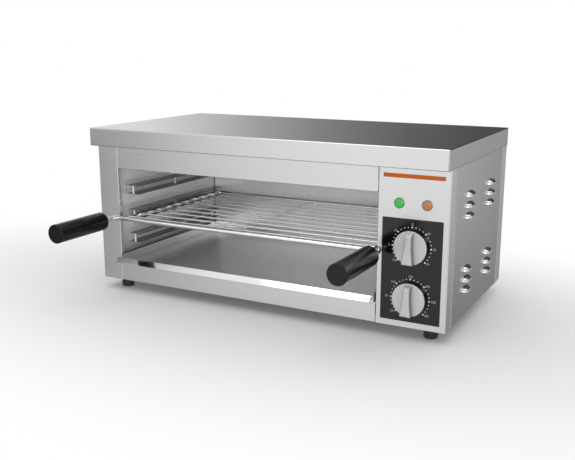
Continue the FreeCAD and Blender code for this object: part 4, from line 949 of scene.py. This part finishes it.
# The polished lip: a folded strip, drawn in at both ends in step with its fall below the crest.
def makeTrayLip():
    inner, f, c, thick = tray["front"] + tray["gauge"], tray["front"], tray["crest"], tray["lipGauge"]
    out, low = tray["lipFront"], tray["lipLow"]
    lip = [(inner, c - thick), (f, c - thick), (out, low - thick), (out, low), (f, c), (inner, c)]
    line = roundCorners(lip, [0.1, 0.2, 0.3, 0.3, 1.6, 0.1], steps=6)
    inset = tray["inset"] * np.clip((c - line[:, 1]) / (c - low), 0, 1)
    left, right = tray["lipLeft"] + inset, tray["lipRight"] - inset
    ends = np.array([np.column_stack([x, line]) for x in (left, right)])
    return stitch(ends[:, ::-1], closeV=True, capStart=True, capEnd=True)


piece("tray", makeTray(), traySteel, "tray", ["drip_tray"])
piece("trayLip", makeTrayLip(), lipPolish, "tray")
print("rack and tray made")


# Feet and screws

foot = {"radius": 10.5, "height": 19.4, "round": 2.0, "x": {"left": -275.0, "right": 275.0},
        "y": {"front": 27.0, "rear": 279.4}, "bore": 5.5, "boreDeep": 9.0, "chamfer": 0.6, "seat": 3.0,
        "around": 48}


# A lathed foot: a quarter arc at the ground, a chamfer at the top, and a bore for the screw's head
def makeFoot(x, y):
    phi = np.linspace(0, math.pi / 2, 6)
    r, low, edge = foot["radius"], -foot["height"], foot["round"]
    base = np.column_stack([r - edge * (1 - np.sin(phi)), low + edge * (1 - np.cos(phi))])
    bore = [(foot["bore"], low + foot["boreDeep"]), (foot["bore"], low)]
    top = [(r, -foot["chamfer"]), (r - foot["chamfer"], 0), (foot["seat"], 0)]
    return turned(np.vstack([bore, base, top]), "z", (x, y, 0), foot["around"])


for end, y in foot["y"].items():
    for side, x in foot["x"].items():
        name = "foot_%s_%s" % (end, side)
        piece(name + "_rubber", makeFoot(x, y), footRubber, replaces=[name])

screw = {"head": 3.4, "rise": 1.4, "skirt": 0.45, "cross": 0.45, "reach": 2.0, "deep": 0.9, "slope": 0.2,
         "endSlope": 0.4, "domeStart": 0.35, "domeEnd": math.pi / 2 - 0.02, "around": 32}


# A pan head over polar rings: a short skirt, then a dome of head cos(a) and rise sin(a). The drive is a
# cross, where min(|u|, |v|) is below its half width.
def makeScrewHead(spot, axis, way):
    head, skirt, start = screw["head"], screw["skirt"], screw["domeStart"]
    flat = np.cos(np.linspace(start, screw["domeEnd"], 12))
    high = np.sin(np.linspace(start, math.pi / 2, 12))
    radius = np.concatenate([[head, head], head * flat])
    level = np.concatenate([[0, skirt], skirt + (screw["rise"] - skirt) * high])
    turn = np.linspace(0, 2 * math.pi, screw["around"], endpoint=False)
    u, v = radius[:, None] * np.cos(turn), radius[:, None] * np.sin(turn)
    small, large = np.minimum(np.abs(u), np.abs(v)), np.maximum(np.abs(u), np.abs(v))
    inside = np.clip((screw["cross"] - small) / screw["slope"], 0, 1)
    inside *= np.clip((screw["reach"] - large) / screw["endSlope"], 0, 1)
    order = {"y": (0, 2, 1), "z": (0, 1, 2)}[axis]
    grid = np.zeros(u.shape + (3,))
    grid[..., order[0]], grid[..., order[1]] = u, v
    grid[..., order[2]] = way * (level[:, None] - screw["deep"] * inside)
    if (axis == "y") == (way > 0):
        grid = grid[:, ::-1]
    return stitch(grid + np.asarray(spot, float), closeV=True, capStart=True, capEnd=True)


sillScrew = {"middle": -32.55, "pitch": 138.87, "y": 7.0}
rearScrew = {"x": (-180, 0, 180), "top": 244.0, "bottom": 6.0, "side": -296.4, "z": (45, 126, 207)}
sillHeads = [
    makeScrewHead((sillScrew["middle"] + step * sillScrew["pitch"], sillScrew["y"], case["low"]), "z", -1)
    for step in (-1.5, -0.5, 0.5, 1.5)
]
rearSpots = [(x, lid["back"], rearScrew["top"]) for x in rearScrew["x"]]
rearSpots += [(x, case["back"], rearScrew["bottom"]) for x in rearScrew["x"]]
rearSpots += [(rearScrew["side"], case["back"], z) for z in rearScrew["z"]]
rearHeads = [makeScrewHead(spot, "y", 1) for spot in rearSpots]
piece("sillScrews", merge(*sillHeads), screwZinc, replaces=["fascia_screws"])
piece("rearScrews", merge(*rearHeads), screwZinc, replaces=["rear_screws"])


# Heating elements

element = {"radius": 4.0, "z": 203.0, "right": 236.0, "left": -224.0, "half": 30.0, "first": 100.0,
           "pitch": 115.0, "around": 24, "ends": 0.5}


# A tube that runs to the left, turns by half a circle and runs back
def makeElement(middle):
    half, z = element["half"], element["z"]
    turn = np.linspace(-math.pi / 2, -3 * math.pi / 2, 25)
    x, y = element["left"] + half * np.cos(turn), middle + half * np.sin(turn)
    loop = np.column_stack([x, y, np.full(len(turn), z)])
    ends = [(element["right"], middle + way * half, z) for way in (-1, 1)]
    path = np.vstack([ends[:1], loop, ends[1:]])
    return rod(path, element["radius"], element["around"], element["ends"])


for pair, name in enumerate(("front", "rear")):
    piece("element_%s_tube" % name, makeElement(element["first"] + element["pitch"] * pair), elementSheath,
          replaces=["heating_element_" + name], smooth=50)
print("details made")


# Finishes on the CAD nodes that stay

keptNodes = (
    (steelFront, ("rear_panel",)),
    (innerSheet, ("base_plate", "liner_bearer_left", "liner_bearer_right", "element_hanger_left",
                  "element_hanger_right", "bulb_clips", "safety_limiter")),
    (linerSteel, ("cavity_left_wall", "cavity_right_wall")),
    (linerRear, ("cavity_rear_wall", "cavity_floor", "cavity_ceiling")),
    (ceramicWhite, ("element_bushes", "terminal_block")),
    (screwZinc, ("timer_shaft", "thermostat_shaft", "control_screws", "foot_screws")),
    (mouldedDark, ("timer_body", "thermostat_body", "lamp_holder_green", "lamp_holder_amber", "cable_gland",
                   "gland_nut")),
    (copperTube, ("thermostat_bulb",)),
)
for look, names in keptNodes:
    for name in names:
        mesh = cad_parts[name].data
        mesh.materials.clear()
        mesh.materials.append(look)
print("nodes finished:", sum(len(names) for look, names in keptNodes))
